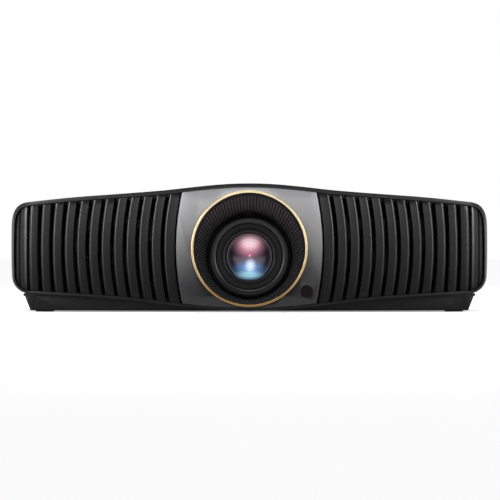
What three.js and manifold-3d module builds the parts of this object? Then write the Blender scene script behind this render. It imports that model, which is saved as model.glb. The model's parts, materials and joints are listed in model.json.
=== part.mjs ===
// A home cinema projector: a low, wide case with a bowed front, upright louvres on both
// sides of a metal lens panel, a ribbed hood around the lens, and the works inside.
// Millimetres, +Z up, the front faces -Y, and the feet stand on Z = 0.
import * as THREE from 'three';
import { mergeVertices } from 'three/addons/utils/BufferGeometryUtils.js';
import Module from 'manifold-3d';

const wasm = await Module();
wasm.setup();

// ---- Driving dimensions ----

// Case
const caseWidth = 493.2;
const caseDepth = 347;
const caseHeight = 131.8; // floor to the crown of the top cover
const shoulderDrop = 18.6; // crown to the edge where the top turns down
const shoulderIn = 18.8; // that edge, in from the widest point
const frontRadius = 620; // bow of the front, seen from above
const frontCorner = 38;
const rearCorner = 26;
const sideBulge = 1.2;
const lowerCornerIn = 16.6; // lower edge of the case, in from the widest point
const splitHeight = 19.2; // top cover above, bottom tray below
const coverWall = 2.6;
const gap = 0.3; // between neighbours that don't move
const past = 10; // cutters reach this far past what they cut
const weld = 1; // parts of one piece run this far into each other
const lowTurnRise = 17; // where the side's lower corner ends, above the split
const lowTurnPull = [8, 2, 0.5, 8]; // how its curve leaves the corner and meets the side
const highTurnDrop = 24; // where the upper corner begins, below the shoulder
const highTurnPull = [0.6, 8, 11, 1.2];
const flankBelly = 0.45;

// Front frame
const frameDepth = 14;
const rimTop = 3.8;
const rimBottom = 2.6;
const lipHeight = 1.5; // underside of the frame in the middle

// Louvres and lens panel
const panelMargin = 15.05; // from the trim ring to the lens panel's edge where it is widest
const grooveWidth = 3.6;
const panelGroove = 2; // between the lens panel and the first blade
const bladePitch = 13.25; // along the bow of the front
const bladeFace = 1.5; // outer edge of a blade's face, behind the case's skin
const bladeTwist = 1.4; // how much deeper its inner edge sits
const bladeBevel = 2.7;
const bladeDepth = 9.5;
const uprightRows = 8; // straight steps along a bowed upright edge
const railHeight = 7;
const railThickness = 3;
const railLap = 1; // into the blades
const bow = 7.4; // how far upright edges lean in at their ends
const bowFade = 70; // the bow dies out over this distance from the case's side
const panelFace = 0.8;
const panelThickness = 4;

// Trim ring and hood
const ringMargin = 2.2; // from the ring to the frame's opening, above and below
const ringLow = 0.9; // the ring's centre, under the middle of the opening
const ringWidth = 2.6;
const ringDepth = 8;
const hoodLip = 1.2;
const hoodWall = 2.2;
const hoodSetback = 1.2;
const hoodDepth = 34;
const hoodDropShare = 0.72; // how far the mouth sits below the middle of its play
const ribCount = 48;
const ribHeight = 0.8;
const ribEnds = [1.5, 2]; // plain funnel before and after the ribs
const earSize = [9, 3, 12];
const earSetback = 0.7; // behind the lens panel
const earInset = 0.4; // into the funnel's wall
const windowRadius = 6;
const windowIn = 16.4; // from the lens panel's edge
const windowUp = 17.6; // from the lower edge of the opening
const windowDepth = 6;

// Lens
const lensRadius = 40.4;
const lensClearance = 4.2; // round gap between the lens and the hood's mouth
const lensSetback = 31;
const ringWall = 6.2; // focus and zoom rings
const ringFit = 0.3;
const focusLength = 19;
const zoomLength = 13;
const ringChamfer = [1.5, 1.2]; // at its bore and at its outer edge
const zoomStep = 1; // the zoom ring is this much slimmer
const zoomLever = [6, 8, 9];
const barrelSetback = 5;
const flangeStep = 1.6; // the barrel's flange stands out past the focus ring
const flangeLength = 4;
const tubeStep = 9.4; // the barrel's tube, in from the focus ring
const barrelLength = 76;
const glassStep = 14.3; // the glass, in from the focus ring
const glassBulge = 8.5;
const glassEdge = 3;
const glassLedge = 6; // width of the ledge behind the glass
const glassHollow = 1; // depth of the hollow in its back
const boreStep = 1.9;
const retainerLap = 1.2; // of the retaining ring over the glass
const retainerSetback = [1.2, 3.2]; // its outer and inner edges, behind the barrel's front

// Lens shift
const shiftUp = 3;
const shiftSide = 2;
const plateThickness = 5;
const plateGap = 0.7;
const carriageMargin = [7.6, 3.6, -0.4]; // past the focus ring: at the sides, below and above
const guideWidth = 3.2;
const knobRadius = 9;
const knobHeight = 15;
const knobSpacing = 36;
const knobShaft = 3;
const knobBehindPlate = 12;
const knobEdge = 1;
const knobUnderDoor = 1.2;
const knobAboveBracket = 4;
const knobTail = 5; // of its shaft, below the bracket's top
const bracketThickness = 2;

// Sliding door over the shift knobs
const doorWidth = 80;
const doorLength = 56;
const doorThickness = 1.9;
const doorTravel = 46;
const troughFloor = 2.4;
const troughRim = 6;
const doorLap = 6; // trough floor left around the hole under the door
const gripRows = 3;
const gripSize = [28, 1.6, 0.9]; // one groove: width, length, depth
const gripPitch = 4;
const gripFromEdge = 8;

// Control panel on the top cover
const panelSize = [92, 44];
const panelAt = [150, 105]; // from the middle, and from the front to back centre
const panelDeep = 5;
const panelCorner = 6;
const keyStand = 0.8;
const keyTravel = 1;
const keyRadius = 5;
const keyFlange = [1.2, 1.2];
const padRadius = [7, 16];
const padCentreRadius = 6.5;
const padCentreTail = 2; // the confirm key reaches this much lower
const keyColumns = [-34, 32];
const keyRow = 10;
const padAt = -2;
const boardThickness = 1.6;
const keyBoardIn = 2; // in from the control panel's edges

// Bottom tray and feet
const trayBottom = 1.5;
const trayWall = 2.5;
const trayTaper = 7.4;
const trayFlangeOut = 3.4; // past the case's lower corner
const trayFlange = 2.5;
const trayNotch = [2, 4]; // room around the hood: beside it, and behind and under it
const footRadius = 9.5;
const footHeight = 6;
const footIn = 34.6; // foot centres, in from the case's sides
const frontFootAt = 46.6; // behind the skin straight ahead of it
const rearFootAt = 48; // from the rear edge
const studRadius = 4;
const studLength = 34;
const studUp = 2; // bottom of the stud in the pad
const pocketPlay = 1; // around and over the pad
const bossRise = 14; // above the pad
const bossWall = 3;
const runningFit = 0.3;

// Rear panel and its sockets
const rearIn = 46;
const rearBottom = 28;
const rearTop = 94;
const rearFlange = 4;
const rearFlangeThickness = 2;
const rearCorners = [4, 6]; // radius at the opening and at the flange
const rearSetback = 0.6;
const socketRow = 50;
const socketDepth = 19;
const socketSetback = 1;
const socketCorner = 1;
const tongueSetback = 1.5;
const jackRadius = 4.2;
const jackBore = 1.8;
const jackDeep = 14;
const pinSize = [2, 4];
const pinFront = -6;
const pinPlaces = [[-7, -2], [0, 3], [7, -2]];
const pinCarrier = [24, 16, 3];

// Works inside
const chassisIn = 56.6; // from the case's sides
const chassisThickness = 1.6;
const chassisPlay = 4; // behind the tray's front wall
const mainBoardHalf = 125;
const mainBoardAt = 45;
const mainBoardLift = 14;
const mainBoardDrop = 22; // from the top cover
const mainBoardBehind = 2; // in front of the pins
const chassisBehind = 8;
const engineHalf = 45;
const engineLength = 122;
const engineHeadroom = 36.1; // under the crown
const portPast = 4; // the engine's port runs this far past the barrel
const sinkSpan = [24, 92];
const sinkBase = 4;
const finCount = 10;
const finThickness = 2;
const finReach = 26;
const wheelRadius = 24;
const wheelThickness = 1.2;
const wheelHub = [7, 3];
const wheelAt = [76, 62];
const wheelBehind = 60; // the engine's front
const motorRadius = 11;
const motorSpan = [3, 20];
const motorArm = [6, 10]; // thickness and height
const motorArmAt = 8;
const motorShaft = [2, 12, 14]; // radius, length, and depth of its bore
const lampAt = [112, -4]; // from the middle, and from the colour wheel
const lampSize = [64, 70, 78];
const lampCap = [40, 8, 30]; // on its back
const lampCapUp = 30;
const supplyAt = [-186, -70];
const supplySize = [82, 166];
const supplyLift = 6;
// Parts on the power supply's board: place from its corner, then width, length and height
const supplyBlocks = [[6, 10, 38, 44, 38], [52, 10, 22, 36, 30], [44, 74, 28, 80, 46]];
const capacitorAt = [20, 78];
const capacitorPitch = 27;
const capacitorSize = [11, 40];
const capacitorCount = 3;
const fanSize = 90;
const fanDepth = 25;
const fanAt = 139;
const fanFromFront = 60;
const fanCorner = 5;
const fanWall = 2.5;
const fanStrut = [4, 3]; // width and thickness
const fanBoss = 15;
const fanShaft = 2;
const fanHub = 16;
const fanTipPlay = 2;
const fanBlade = [1.6, 20];
const fanBlades = 7;

// ---- Materials ----

const plastic = (color, roughness) => new THREE.MeshStandardMaterial({ color, roughness, metalness: 0 });
const metal = (color, roughness) => new THREE.MeshStandardMaterial({ color, roughness, metalness: 1 });
const caseBlack = plastic(0x2b2c2e, 0.55);
const louvreBlack = plastic(0x3a3b3d, 0.5);
const innerBlack = plastic(0x141415, 0.6);
const rubber = plastic(0x101010, 0.9);
const keyGrey = plastic(0x4a4b4d, 0.45);
const socketBlack = plastic(0x1a1a1a, 0.5);
const boardGreen = plastic(0x1f4a2e, 0.6);
const darkGlass = plastic(0x170a0d, 0.08);
const gunmetal = metal(0x8a8b8e, 0.4);
const gold = metal(0xd9b877, 0.25);
const steel = metal(0xa9abad, 0.35);
const aluminium = metal(0xb9bbbe, 0.45);
const blackAluminium = metal(0x1c1c1e, 0.5);
const glass = new THREE.MeshStandardMaterial({ color: 0x6a4f66, roughness: 0.03, metalness: 0.1 });

// ---- Solids from three.js geometry ----

// A closed mesh as a solid with its faces pointing out
function solidOf(geometry) {
  const bare = geometry.index ? geometry : geometry.clone();
  bare.deleteAttribute('normal');
  bare.deleteAttribute('uv');
  const merged = mergeVertices(bare, 1e-4);
  const at = merged.attributes.position;
  const corner = (i) => new THREE.Vector3().fromBufferAttribute(at, i);
  const triangles = [];
  let volume = 0;
  for (let i = 0; i < merged.index.count; i += 3) {
    const [a, b, c] = [0, 1, 2].map((k) => merged.index.getX(i + k));
    if (a === b || b === c || c === a) continue;
    triangles.push([a, b, c]);
    volume += corner(a).dot(corner(b).cross(corner(c)));
  }
  const facingOut = volume > 0 ? triangles : triangles.map(([a, b, c]) => [a, c, b]);
  return new wasm.Manifold(new wasm.Mesh({
    numProp: 3,
    vertProperties: Float32Array.from(at.array),
    triVerts: Uint32Array.from(facingOut.flat()),
  }));
}

function geometryOf(solid) {
  const mesh = solid.getMesh();
  const geometry = new THREE.BufferGeometry();
  geometry.setAttribute('position', new THREE.BufferAttribute(Float32Array.from(mesh.vertProperties), 3));
  geometry.setIndex(Array.from(mesh.triVerts));
  geometry.computeVertexNormals();
  return geometry;
}

const join = (solids) => solids.reduce((whole, solid) => whole.add(solid));
const cut = (solid, cutters) => cutters.reduce((whole, cutter) => whole.subtract(cutter), solid);

function extrusion(points, depth, steps = 1) {
  return new THREE.ExtrudeGeometry(new THREE.Shape(points), { depth, steps, bevelEnabled: false });
}

// An outline of (x, z) points pushed along Y
function alongY(points, yLow, yHigh) {
  const geometry = extrusion(points, yHigh - yLow);
  geometry.rotateX(Math.PI / 2);
  geometry.translate(0, yHigh, 0);
  return solidOf(geometry);
}

// An outline of (x, y) points pushed along Z
function alongZ(points, zLow, zHigh) {
  return solidOf(extrusion(points, zHigh - zLow).translate(0, 0, zLow));
}

function box(low, high) {
  const size = high.map((value, i) => value - low[i]);
  const middle = high.map((value, i) => (value + low[i]) / 2);
  return solidOf(new THREE.BoxGeometry(...size).translate(...middle));
}

// A profile of (radius, height) points turned about the Y axis
function turned(profile, segments) {
  const points = profile.map(([r, y]) => new THREE.Vector2(r, y));
  return solidOf(new THREE.LatheGeometry([...points, points[0]], segments));
}

// The same about the Z axis
function turnedUpright(profile, segments) {
  const points = profile.map(([r, z]) => new THREE.Vector2(r, z));
  const geometry = new THREE.LatheGeometry([...points, points[0]], segments);
  return solidOf(geometry.rotateX(Math.PI / 2));
}

function rodAlongY(radius, yLow, yHigh, segments, x = 0, z = 0) {
  const rod = new THREE.CylinderGeometry(radius, radius, yHigh - yLow, segments);
  return solidOf(rod.translate(x, (yLow + yHigh) / 2, z));
}

function rodUpright(radius, zLow, zHigh, segments, x = 0, y = 0) {
  const rod = new THREE.CylinderGeometry(radius, radius, zHigh - zLow, segments);
  return solidOf(rod.rotateX(Math.PI / 2).translate(x, y, (zLow + zHigh) / 2));
}

function roundedRectangle(width, height, radius, steps = 3) {
  const points = [];
  for (const [sx, sy, start] of [[1, -1, -0.5], [1, 1, 0], [-1, 1, 0.5], [-1, -1, 1]]) {
    for (let i = 0; i <= steps; i += 1) {
      const angle = (start + (0.5 * i) / steps) * Math.PI;
      const x = sx * (width / 2 - radius) + radius * Math.cos(angle);
      points.push(new THREE.Vector2(x, sy * (height / 2 - radius) + radius * Math.sin(angle)));
    }
  }
  return points;
}

const group = new THREE.Group();

function piece(name, solid, material, parent = group) {
  const mesh = new THREE.Mesh(geometryOf(solid), material);
  mesh.name = name;
  parent.add(mesh);
  return mesh;
}

function groupAt(x, y, z, parent = group) {
  const place = new THREE.Group();
  place.position.set(x, y, z);
  parent.add(place);
  return place;
}

// ---- The case seen from above ----

const halfWidth = caseWidth / 2;
const frontEdge = -caseDepth / 2;
const rearEdge = caseDepth / 2;
const bowCentre = frontEdge + frontRadius;
const cornerX = halfWidth - frontCorner;
const cornerY = bowCentre - Math.sqrt((frontRadius - frontCorner) ** 2 - cornerX ** 2);
const cornerAngle = Math.asin(cornerX / (frontRadius - frontCorner));
const bowLength = frontRadius * cornerAngle;

// A point on the front's skin, this far round from the middle and this deep
function onFront(along, depth = 0) {
  const side = Math.sign(along);
  const far = Math.abs(along);
  const onBow = far <= bowLength;
  const angle = onBow ? far / frontRadius : cornerAngle + (far - bowLength) / frontCorner;
  const radius = (onBow ? frontRadius : frontCorner) - depth;
  const [cx, cy] = onBow ? [0, bowCentre] : [cornerX, cornerY];
  return new THREE.Vector2(side * (cx + radius * Math.sin(angle)), cy - radius * Math.cos(angle));
}

// The front's skin straight ahead of a place x
function frontAt(x) {
  const far = Math.abs(x);
  if (far <= frontRadius * Math.sin(cornerAngle)) return bowCentre - Math.sqrt(frontRadius ** 2 - far ** 2);
  const reach = Math.min(far - cornerX, frontCorner);
  return cornerY - Math.sqrt(frontCorner ** 2 - reach ** 2);
}

function planOutline(inset) {
  const corners = [
    [0, bowCentre, frontRadius, -cornerAngle, cornerAngle, 14],
    [cornerX, cornerY, frontCorner, cornerAngle, Math.PI / 2, 6],
    [halfWidth - rearCorner, rearEdge - rearCorner, rearCorner, Math.PI / 2, Math.PI, 4],
    [rearCorner - halfWidth, rearEdge - rearCorner, rearCorner, Math.PI, 1.5 * Math.PI, 4],
    [-cornerX, cornerY, frontCorner, 1.5 * Math.PI, 2 * Math.PI - cornerAngle, 6],
  ];
  return corners.flatMap(([cx, cy, radius, from, to, steps], index) => {
    const first = index === 1 ? 1 : 0;
    const last = index === 4 ? steps - 1 : steps;
    const points = [];
    for (let i = first; i <= last; i += 1) {
      const angle = from + ((to - from) * i) / steps;
      const x = cx + (radius - inset) * Math.sin(angle);
      points.push(new THREE.Vector2(x, cy - (radius - inset) * Math.cos(angle)));
    }
    return points;
  });
}

const allHeight = [-past, caseHeight + past];
const planSolid = (inset, shift = 0) => alongZ(planOutline(inset), ...allHeight).translate([0, shift, 0]);

// ---- The case seen from the front ----

const shoulder = new THREE.Vector2(halfWidth - shoulderIn, caseHeight - shoulderDrop);
const lowerCorner = new THREE.Vector2(halfWidth - lowerCornerIn, splitHeight);

// Height of the top's skin: an arched crown over the lens, then a gentle slope
const crownShape = [
  [0, 0], [0.11, 0.04], [0.246, 0.194], [0.386, 0.382], [0.588, 0.57], [0.795, 0.747], [1, 1],
];
const crownLine = new THREE.SplineCurve(
  [...crownShape.slice(1).reverse().map(([x, drop]) => [-x, drop]), ...crownShape].map(
    ([x, drop]) => new THREE.Vector2(x * shoulder.x, caseHeight - drop * shoulderDrop),
  ),
).getPoints(28);

function crownAt(x) {
  const next = crownLine.findIndex((point) => point.x >= x);
  const [a, b] = [crownLine[next - 1], crownLine[next]];
  return a.y + ((b.y - a.y) * (x - a.x)) / (b.x - a.x);
}

// Underside of the front frame: low under the lens, rising to the ends
const lipShape = [
  [0, 0], [0.15, 0.07], [0.3, 0.275], [0.42, 0.47], [0.535, 0.645], [0.7, 0.8], [0.89, 0.93], [1, 1],
];
const lipLine = new THREE.SplineCurve(lipShape.map(([x, rise]) => new THREE.Vector2(
  x * lowerCorner.x,
  lipHeight + rise * (splitHeight - lipHeight),
))).getPoints(10);

// Right-hand side of the case, from its lower edge up to the shoulder
function sideLine() {
  const [lowOut, lowUp, lowBack, lowDown] = lowTurnPull;
  const [highBack, highDown, highOut, highIn] = highTurnPull;
  const lowTurn = new THREE.Vector2(halfWidth - sideBulge, splitHeight + lowTurnRise);
  const highTurn = new THREE.Vector2(halfWidth - sideBulge / 2, shoulder.y - highTurnDrop);
  const middle = (lowTurn.y + highTurn.y) / 2;
  const lower = new THREE.CubicBezierCurve(
    lowerCorner,
    new THREE.Vector2(lowerCorner.x + lowOut, splitHeight + lowUp),
    new THREE.Vector2(lowTurn.x - lowBack, lowTurn.y - lowDown),
    lowTurn,
  );
  const flank = new THREE.QuadraticBezierCurve(
    lowTurn,
    new THREE.Vector2(halfWidth + sideBulge * flankBelly, middle),
    highTurn,
  );
  const upper = new THREE.CubicBezierCurve(
    highTurn,
    new THREE.Vector2(highTurn.x - highBack, shoulder.y - highDown),
    new THREE.Vector2(shoulder.x + highOut, shoulder.y - highIn),
    shoulder,
  );
  return [...lower.getPoints(5), ...flank.getPoints(4).slice(1), ...upper.getPoints(7).slice(1)];
}

const mirrored = (points) => points.map((point) => new THREE.Vector2(-point.x, point.y)).reverse();
const coverOutline = [...sideLine(), ...crownLine.slice(1, -1).reverse(), ...mirrored(sideLine())];
const frontOutline = [...lipLine.slice(0, -1), ...coverOutline, ...mirrored(lipLine.slice(1, -1))];

// A closed outline, counter-clockwise, drawn in by a distance that may differ from place to place
function drawnIn(points, distanceAt) {
  return points.map((point, i) => {
    const before = points[(i + points.length - 1) % points.length];
    const after = points[(i + 1) % points.length];
    const a = point.clone().sub(before).normalize();
    const b = after.clone().sub(point).normalize();
    const inward = new THREE.Vector2(-a.y - b.y, a.x + b.x).divideScalar(1 + a.dot(b));
    return point.clone().addScaledVector(inward, distanceAt(point));
  });
}

function rimAt(point) {
  const share = THREE.MathUtils.clamp((point.y - splitHeight) / (shoulder.y - splitHeight), 0, 1);
  return rimBottom + (rimTop - rimBottom) * share;
}

const opening = drawnIn(frontOutline, rimAt);
const openingFit = drawnIn(frontOutline, (point) => rimAt(point) + gap);
const wholeDepth = [frontEdge - past, rearEdge + past];

// ---- Front frame ----

const frameBand = planSolid(0).subtract(planSolid(0, frameDepth));
const frameRing = cut(alongY(frontOutline, ...wholeDepth), [alongY(opening, ...wholeDepth)]);
piece('front_frame', frameRing.intersect(frameBand), caseBlack);

// ---- Louvres ----

const openingTop = caseHeight - rimTop;
const openingBottom = lipHeight + rimBottom;
const middleHeight = (openingTop + openingBottom) / 2;
const halfSpan = (openingTop - openingBottom) / 2;
const ringRadius = halfSpan - ringMargin;
const ringHeight = middleHeight - ringLow;
const ringInner = ringRadius - ringWidth;
const panelHalf = ringRadius + panelMargin;
const bowStrength = (x) => bow * THREE.MathUtils.clamp((halfWidth - rimTop - Math.abs(x)) / bowFade, 0, 1);

// A plan outline stood upright, with its edges leaning in towards the ends. edgeX is where
// the full lean of that edge applies; the lean fades to nothing at the middle of the case.
function bowedUpright(points, edgeX, zLow, zHigh, steps) {
  const geometry = extrusion(points, zHigh - zLow, steps).translate(0, 0, zLow);
  const at = geometry.attributes.position;
  for (let i = 0; i < at.count; i += 1) {
    const x = at.getX(i);
    const share = Math.min(Math.abs(x / edgeX), 1);
    const lean = bowStrength(edgeX) * share * ((at.getZ(i) - middleHeight) / halfSpan) ** 2;
    const leaned = x - Math.sign(x) * lean;
    at.setX(i, leaned);
    at.setY(i, at.getY(i) + frontAt(leaned) - frontAt(x));
  }
  return solidOf(geometry);
}

const panelEdge = frontRadius * Math.asin(panelHalf / frontRadius);
const openingEnd = bowLength + frontCorner * (Math.acos(rimTop / frontCorner) - cornerAngle);
const bladeCount = Math.floor((openingEnd - panelEdge) / bladePitch);
const innerEdge = panelEdge + panelGroove;
const upright = [-gap, caseHeight + gap, uprightRows];

function bladeOutline(side, from, to) {
  const bevelled = to - bladeBevel;
  return [
    onFront(side * from, bladeFace + bladeTwist),
    onFront(side * bevelled, bladeFace),
    onFront(side * to, bladeFace + bladeBevel),
    onFront(side * to, bladeDepth),
    onFront(side * from, bladeDepth),
  ];
}

function louvre(side) {
  const blades = [];
  for (let k = 0; k < bladeCount; k += 1) {
    const from = k ? panelEdge + k * bladePitch + grooveWidth : innerEdge;
    const to = Math.min(panelEdge + (k + 1) * bladePitch, openingEnd);
    const edge = onFront(from).x;
    blades.push(bowedUpright(bladeOutline(side, from, to), edge, ...upright));
  }
  const outline = [];
  for (const depth of [bladeDepth - railLap, bladeDepth - railLap + railThickness]) {
    const row = [];
    for (let along = innerEdge; along < openingEnd; along += 2 * bladePitch) {
      row.push(onFront(side * along, depth));
    }
    row.push(onFront(side * openingEnd, depth));
    outline.push(...(outline.length ? row.reverse() : row));
  }
  const backing = alongZ(outline, 0, caseHeight);
  const railHollow = alongY(drawnIn(openingFit, () => railHeight), ...wholeDepth);
  return join([...blades, backing.subtract(railHollow)]).intersect(alongY(openingFit, ...wholeDepth));
}

piece('louvre_left', louvre(-1), louvreBlack);
piece('louvre_right', louvre(1), louvreBlack);

// ---- Lens panel, trim ring and receiver window ----

const windowAt = [panelHalf - windowIn, openingBottom + windowUp];

function lensPanelSolid() {
  const outline = [];
  const steps = 8;
  for (const depth of [panelFace, panelFace + panelThickness]) {
    const row = [];
    for (let i = 0; i <= steps; i += 1) row.push(onFront(panelEdge * ((2 * i) / steps - 1), depth));
    outline.push(...(outline.length ? row.reverse() : row));
  }
  const plate = bowedUpright(outline, panelHalf, ...upright).intersect(alongY(openingFit, ...wholeDepth));
  const ringHole = rodAlongY(ringRadius + gap, ...wholeDepth, 48, 0, ringHeight);
  const windowHole = rodAlongY(windowRadius + gap, ...wholeDepth, 24, ...windowAt);
  return cut(plate, [ringHole, windowHole]);
}

piece('lens_panel', lensPanelSolid(), gunmetal);

const front = groupAt(0, frontEdge, ringHeight);
const edgeRound = ringWidth / 3;
piece('trim_ring', turned([
  [ringInner, edgeRound],
  [ringInner + edgeRound, 0],
  [ringRadius - edgeRound, 0],
  [ringRadius, edgeRound],
  [ringRadius, ringDepth],
  [ringInner, ringDepth],
], 48), gold, front);

const receiver = piece('receiver_window', rodAlongY(windowRadius, 0, windowDepth, 24), darkGlass);
receiver.position.set(windowAt[0], frontAt(windowAt[0]) + panelFace, windowAt[1]);

// ---- Hood: a ribbed funnel whose mouth sits lower than its rim ----

const mouthRadius = lensRadius + lensClearance;
const rimRadius = ringInner - gap;
const mouthDrop = (rimRadius - hoodLip - mouthRadius) * hoodDropShare;
const lensHeight = ringHeight - mouthDrop;

function hoodSolid() {
  const flare = (depth) => {
    const share = (depth - hoodSetback) / (hoodDepth - hoodSetback);
    return rimRadius - hoodLip + (mouthRadius - rimRadius + hoodLip) * share;
  };
  const ribStart = hoodSetback + ribEnds[0];
  const ribEnd = hoodDepth - ribEnds[1];
  const profile = [
    [rimRadius, hoodSetback],
    [flare(hoodSetback), hoodSetback],
    [flare(ribStart), ribStart],
    [flare(ribEnd), ribEnd],
    [mouthRadius, hoodDepth],
    [mouthRadius + hoodWall, hoodDepth],
  ].map(([r, y]) => new THREE.Vector2(r, y));
  const geometry = new THREE.LatheGeometry([...profile, profile[0]], 2 * ribCount);
  const at = geometry.attributes.position;
  const rows = profile.length + 1;
  for (let i = 0; i < at.count; i += 1) {
    const onRib = (i % rows === 2 || i % rows === 3) && Math.floor(i / rows) % 2 === 1;
    const radius = Math.hypot(at.getX(i), at.getZ(i));
    const scale = onRib ? (radius - ribHeight) / radius : 1;
    const drop = (mouthDrop * (at.getY(i) - hoodSetback)) / (hoodDepth - hoodSetback);
    at.setX(i, at.getX(i) * scale);
    at.setZ(i, at.getZ(i) * scale - drop);
  }
  const [reach, thickness, height] = earSize;
  const panelBack = frontAt(rimRadius + reach) - frontEdge + panelFace + panelThickness;
  const earFront = panelBack + earSetback;
  const hollow = rodAlongY(flare(earFront) + earInset, 0, hoodDepth, 48);
  const ears = [-1, 1].map((side) => {
    const [near, far] = [side * mouthRadius, side * (rimRadius + reach)];
    const low = [Math.min(near, far), earFront, -height / 2];
    return box(low, [Math.max(near, far), earFront + thickness, height / 2]).subtract(hollow);
  });
  return join([solidOf(geometry), ...ears]);
}

piece('lens_hood', hoodSolid(), innerBlack, front);

// ---- Lens ----

const lens = groupAt(0, frontEdge, lensHeight);
const round = 32;
const crownRings = 5;
const ringBore = lensRadius - ringWall;
const journal = ringBore - ringFit;
const focusBack = lensSetback + focusLength;
const zoomFront = focusBack + plateGap;
const zoomBack = zoomFront + zoomLength;
const flangeFront = zoomBack + plateGap;
const flangeBack = flangeFront + flangeLength;
const flangeRadius = lensRadius + flangeStep;
const tubeRadius = lensRadius - tubeStep;
const barrelFront = lensSetback + barrelSetback;
const barrelBack = barrelFront + barrelLength;
const seatFront = barrelFront + glassBulge;
const seatBack = seatFront + glassEdge + 2 * gap;
const glassRadius = lensRadius - glassStep;
const glassSeat = glassRadius + gap;
const frontBore = glassSeat + boreStep;

const [innerChamfer, outerChamfer] = ringChamfer;
piece('focus_ring', turned([
  [ringBore, lensSetback + innerChamfer],
  [ringBore + innerChamfer, lensSetback],
  [lensRadius - outerChamfer, lensSetback],
  [lensRadius, lensSetback + outerChamfer],
  [lensRadius, focusBack],
  [ringBore, focusBack],
], round), innerBlack, lens);

const zoomRadius = lensRadius - zoomStep;
const zoomBand = turned([
  [ringBore, zoomFront],
  [zoomRadius, zoomFront],
  [zoomRadius, zoomBack],
  [ringBore, zoomBack],
], round);
const [leverWidth, leverReach, leverLength] = zoomLever;
const leverMiddle = (zoomFront + zoomBack) / 2;
const lever = box(
  [-leverWidth / 2, leverMiddle - leverLength / 2, zoomRadius - zoomStep],
  [leverWidth / 2, leverMiddle + leverLength / 2, zoomRadius + leverReach],
);
piece('zoom_ring', zoomBand.add(lever), innerBlack, lens);

piece('lens_barrel', turned([
  [frontBore, barrelFront],
  [journal, barrelFront],
  [journal, flangeFront],
  [flangeRadius, flangeFront],
  [flangeRadius, flangeBack],
  [tubeRadius, flangeBack],
  [tubeRadius, barrelBack],
  [glassSeat - glassLedge, barrelBack],
  [glassSeat - glassLedge, seatBack],
  [glassSeat, seatBack],
  [glassSeat, seatFront],
  [frontBore, seatFront],
], round), innerBlack, lens);

function glassProfile() {
  const edge = seatFront + gap;
  const sphere = (glassRadius ** 2 + glassBulge ** 2) / (2 * glassBulge);
  const crown = [];
  for (let i = 0; i <= crownRings; i += 1) {
    const r = (glassRadius * i) / crownRings;
    crown.push([r, edge + (sphere - glassBulge) - Math.sqrt(sphere ** 2 - r ** 2)]);
  }
  return [...crown, [glassRadius, edge + glassEdge], [0, edge + glassEdge - glassHollow]];
}

piece('front_lens_element', turned(glassProfile(), round), glass, lens);

piece('lens_retaining_ring', turned([
  [glassRadius - retainerLap, barrelFront + retainerSetback[1]],
  [frontBore - gap, barrelFront + retainerSetback[0]],
  [frontBore - gap, seatFront - gap],
  [glassRadius - retainerLap / 2, seatFront - gap],
], round), innerBlack, lens);

// ---- Lens shift: one plate slides sideways in a second, which slides up and down in a third ----

const sidePlateFront = flangeBack + gap;
const sidePlateBack = sidePlateFront + plateThickness;
const upPlateFront = sidePlateBack + plateGap;
const upPlateBack = upPlateFront + plateThickness;
const basePlateFront = upPlateBack + plateGap;
const basePlateBack = basePlateFront + plateThickness;
const [carriageHalf, carriageDown, carriageUp] = carriageMargin.map((margin) => lensRadius + margin);
const upPlateHalf = carriageHalf + shiftSide + guideWidth;
const upPlateLow = -carriageDown - gap - guideWidth;
const upPlateHigh = carriageUp + gap + guideWidth;
const basePlateHalf = upPlateHalf + gap + guideWidth;

const sideBore = rodAlongY(tubeRadius + gap, sidePlateFront - past, sidePlateBack + past, round);
const sidePlate = box(
  [-carriageHalf, sidePlateFront, -carriageDown],
  [carriageHalf, sidePlateBack, carriageUp],
);
piece('shift_plate_sideways', sidePlate.subtract(sideBore), blackAluminium, lens);

const upBore = rodAlongY(tubeRadius + shiftSide + 2 * gap, sidePlateFront, upPlateBack + past, round);
const lipFront = sidePlateFront + gap;
piece('shift_plate_upright', join([
  box([-upPlateHalf, upPlateFront, upPlateLow], [upPlateHalf, upPlateBack, upPlateHigh]).subtract(upBore),
  box([-upPlateHalf, lipFront, carriageUp + gap], [upPlateHalf, upPlateFront + weld, upPlateHigh]),
  box([-upPlateHalf, lipFront, upPlateLow], [upPlateHalf, upPlateFront + weld, -carriageDown - gap]),
]), blackAluminium, lens);

const troughDepth = doorThickness + gap;
const knobTop = crownAt(knobSpacing / 2 + knobRadius) - troughDepth - knobUnderDoor;
const bracketTop = knobTop - knobHeight - knobAboveBracket;
const chassisTop = trayBottom + trayWall + 2 * gap + chassisThickness;
const baseFoot = chassisTop + gap - lensHeight;
const baseHigh = Math.max(upPlateHigh + shiftUp + guideWidth, bracketTop - lensHeight);
const portRadius = tubeRadius + shiftUp + shiftSide;
const baseBore = rodAlongY(portRadius + gap, basePlateFront - past, basePlateBack + past, round);
const guides = [-1, 1].map((side) => {
  const [near, far] = [side * (upPlateHalf + gap), side * basePlateHalf];
  const low = [Math.min(near, far), upPlateFront + gap, baseFoot];
  return box(low, [Math.max(near, far), basePlateFront + weld, baseHigh]);
});
const basePlate = box(
  [-basePlateHalf, basePlateFront, baseFoot],
  [basePlateHalf, basePlateBack, baseHigh],
);
piece('shift_base', join([basePlate.subtract(baseBore), ...guides]), blackAluminium, lens);

const knobY = frontEdge + basePlateBack + knobBehindPlate;
const bracketHoles = [-1, 1].map((side) => (
  rodUpright(knobShaft + runningFit, bracketTop - past, bracketTop + past, 20, side * knobSpacing / 2, knobY)
));
const bracketPlate = box(
  [-knobSpacing, frontEdge + basePlateBack + gap, bracketTop - bracketThickness],
  [knobSpacing, knobY + knobRadius, bracketTop],
);
piece('knob_bracket', cut(bracketPlate, bracketHoles), steel);

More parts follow.
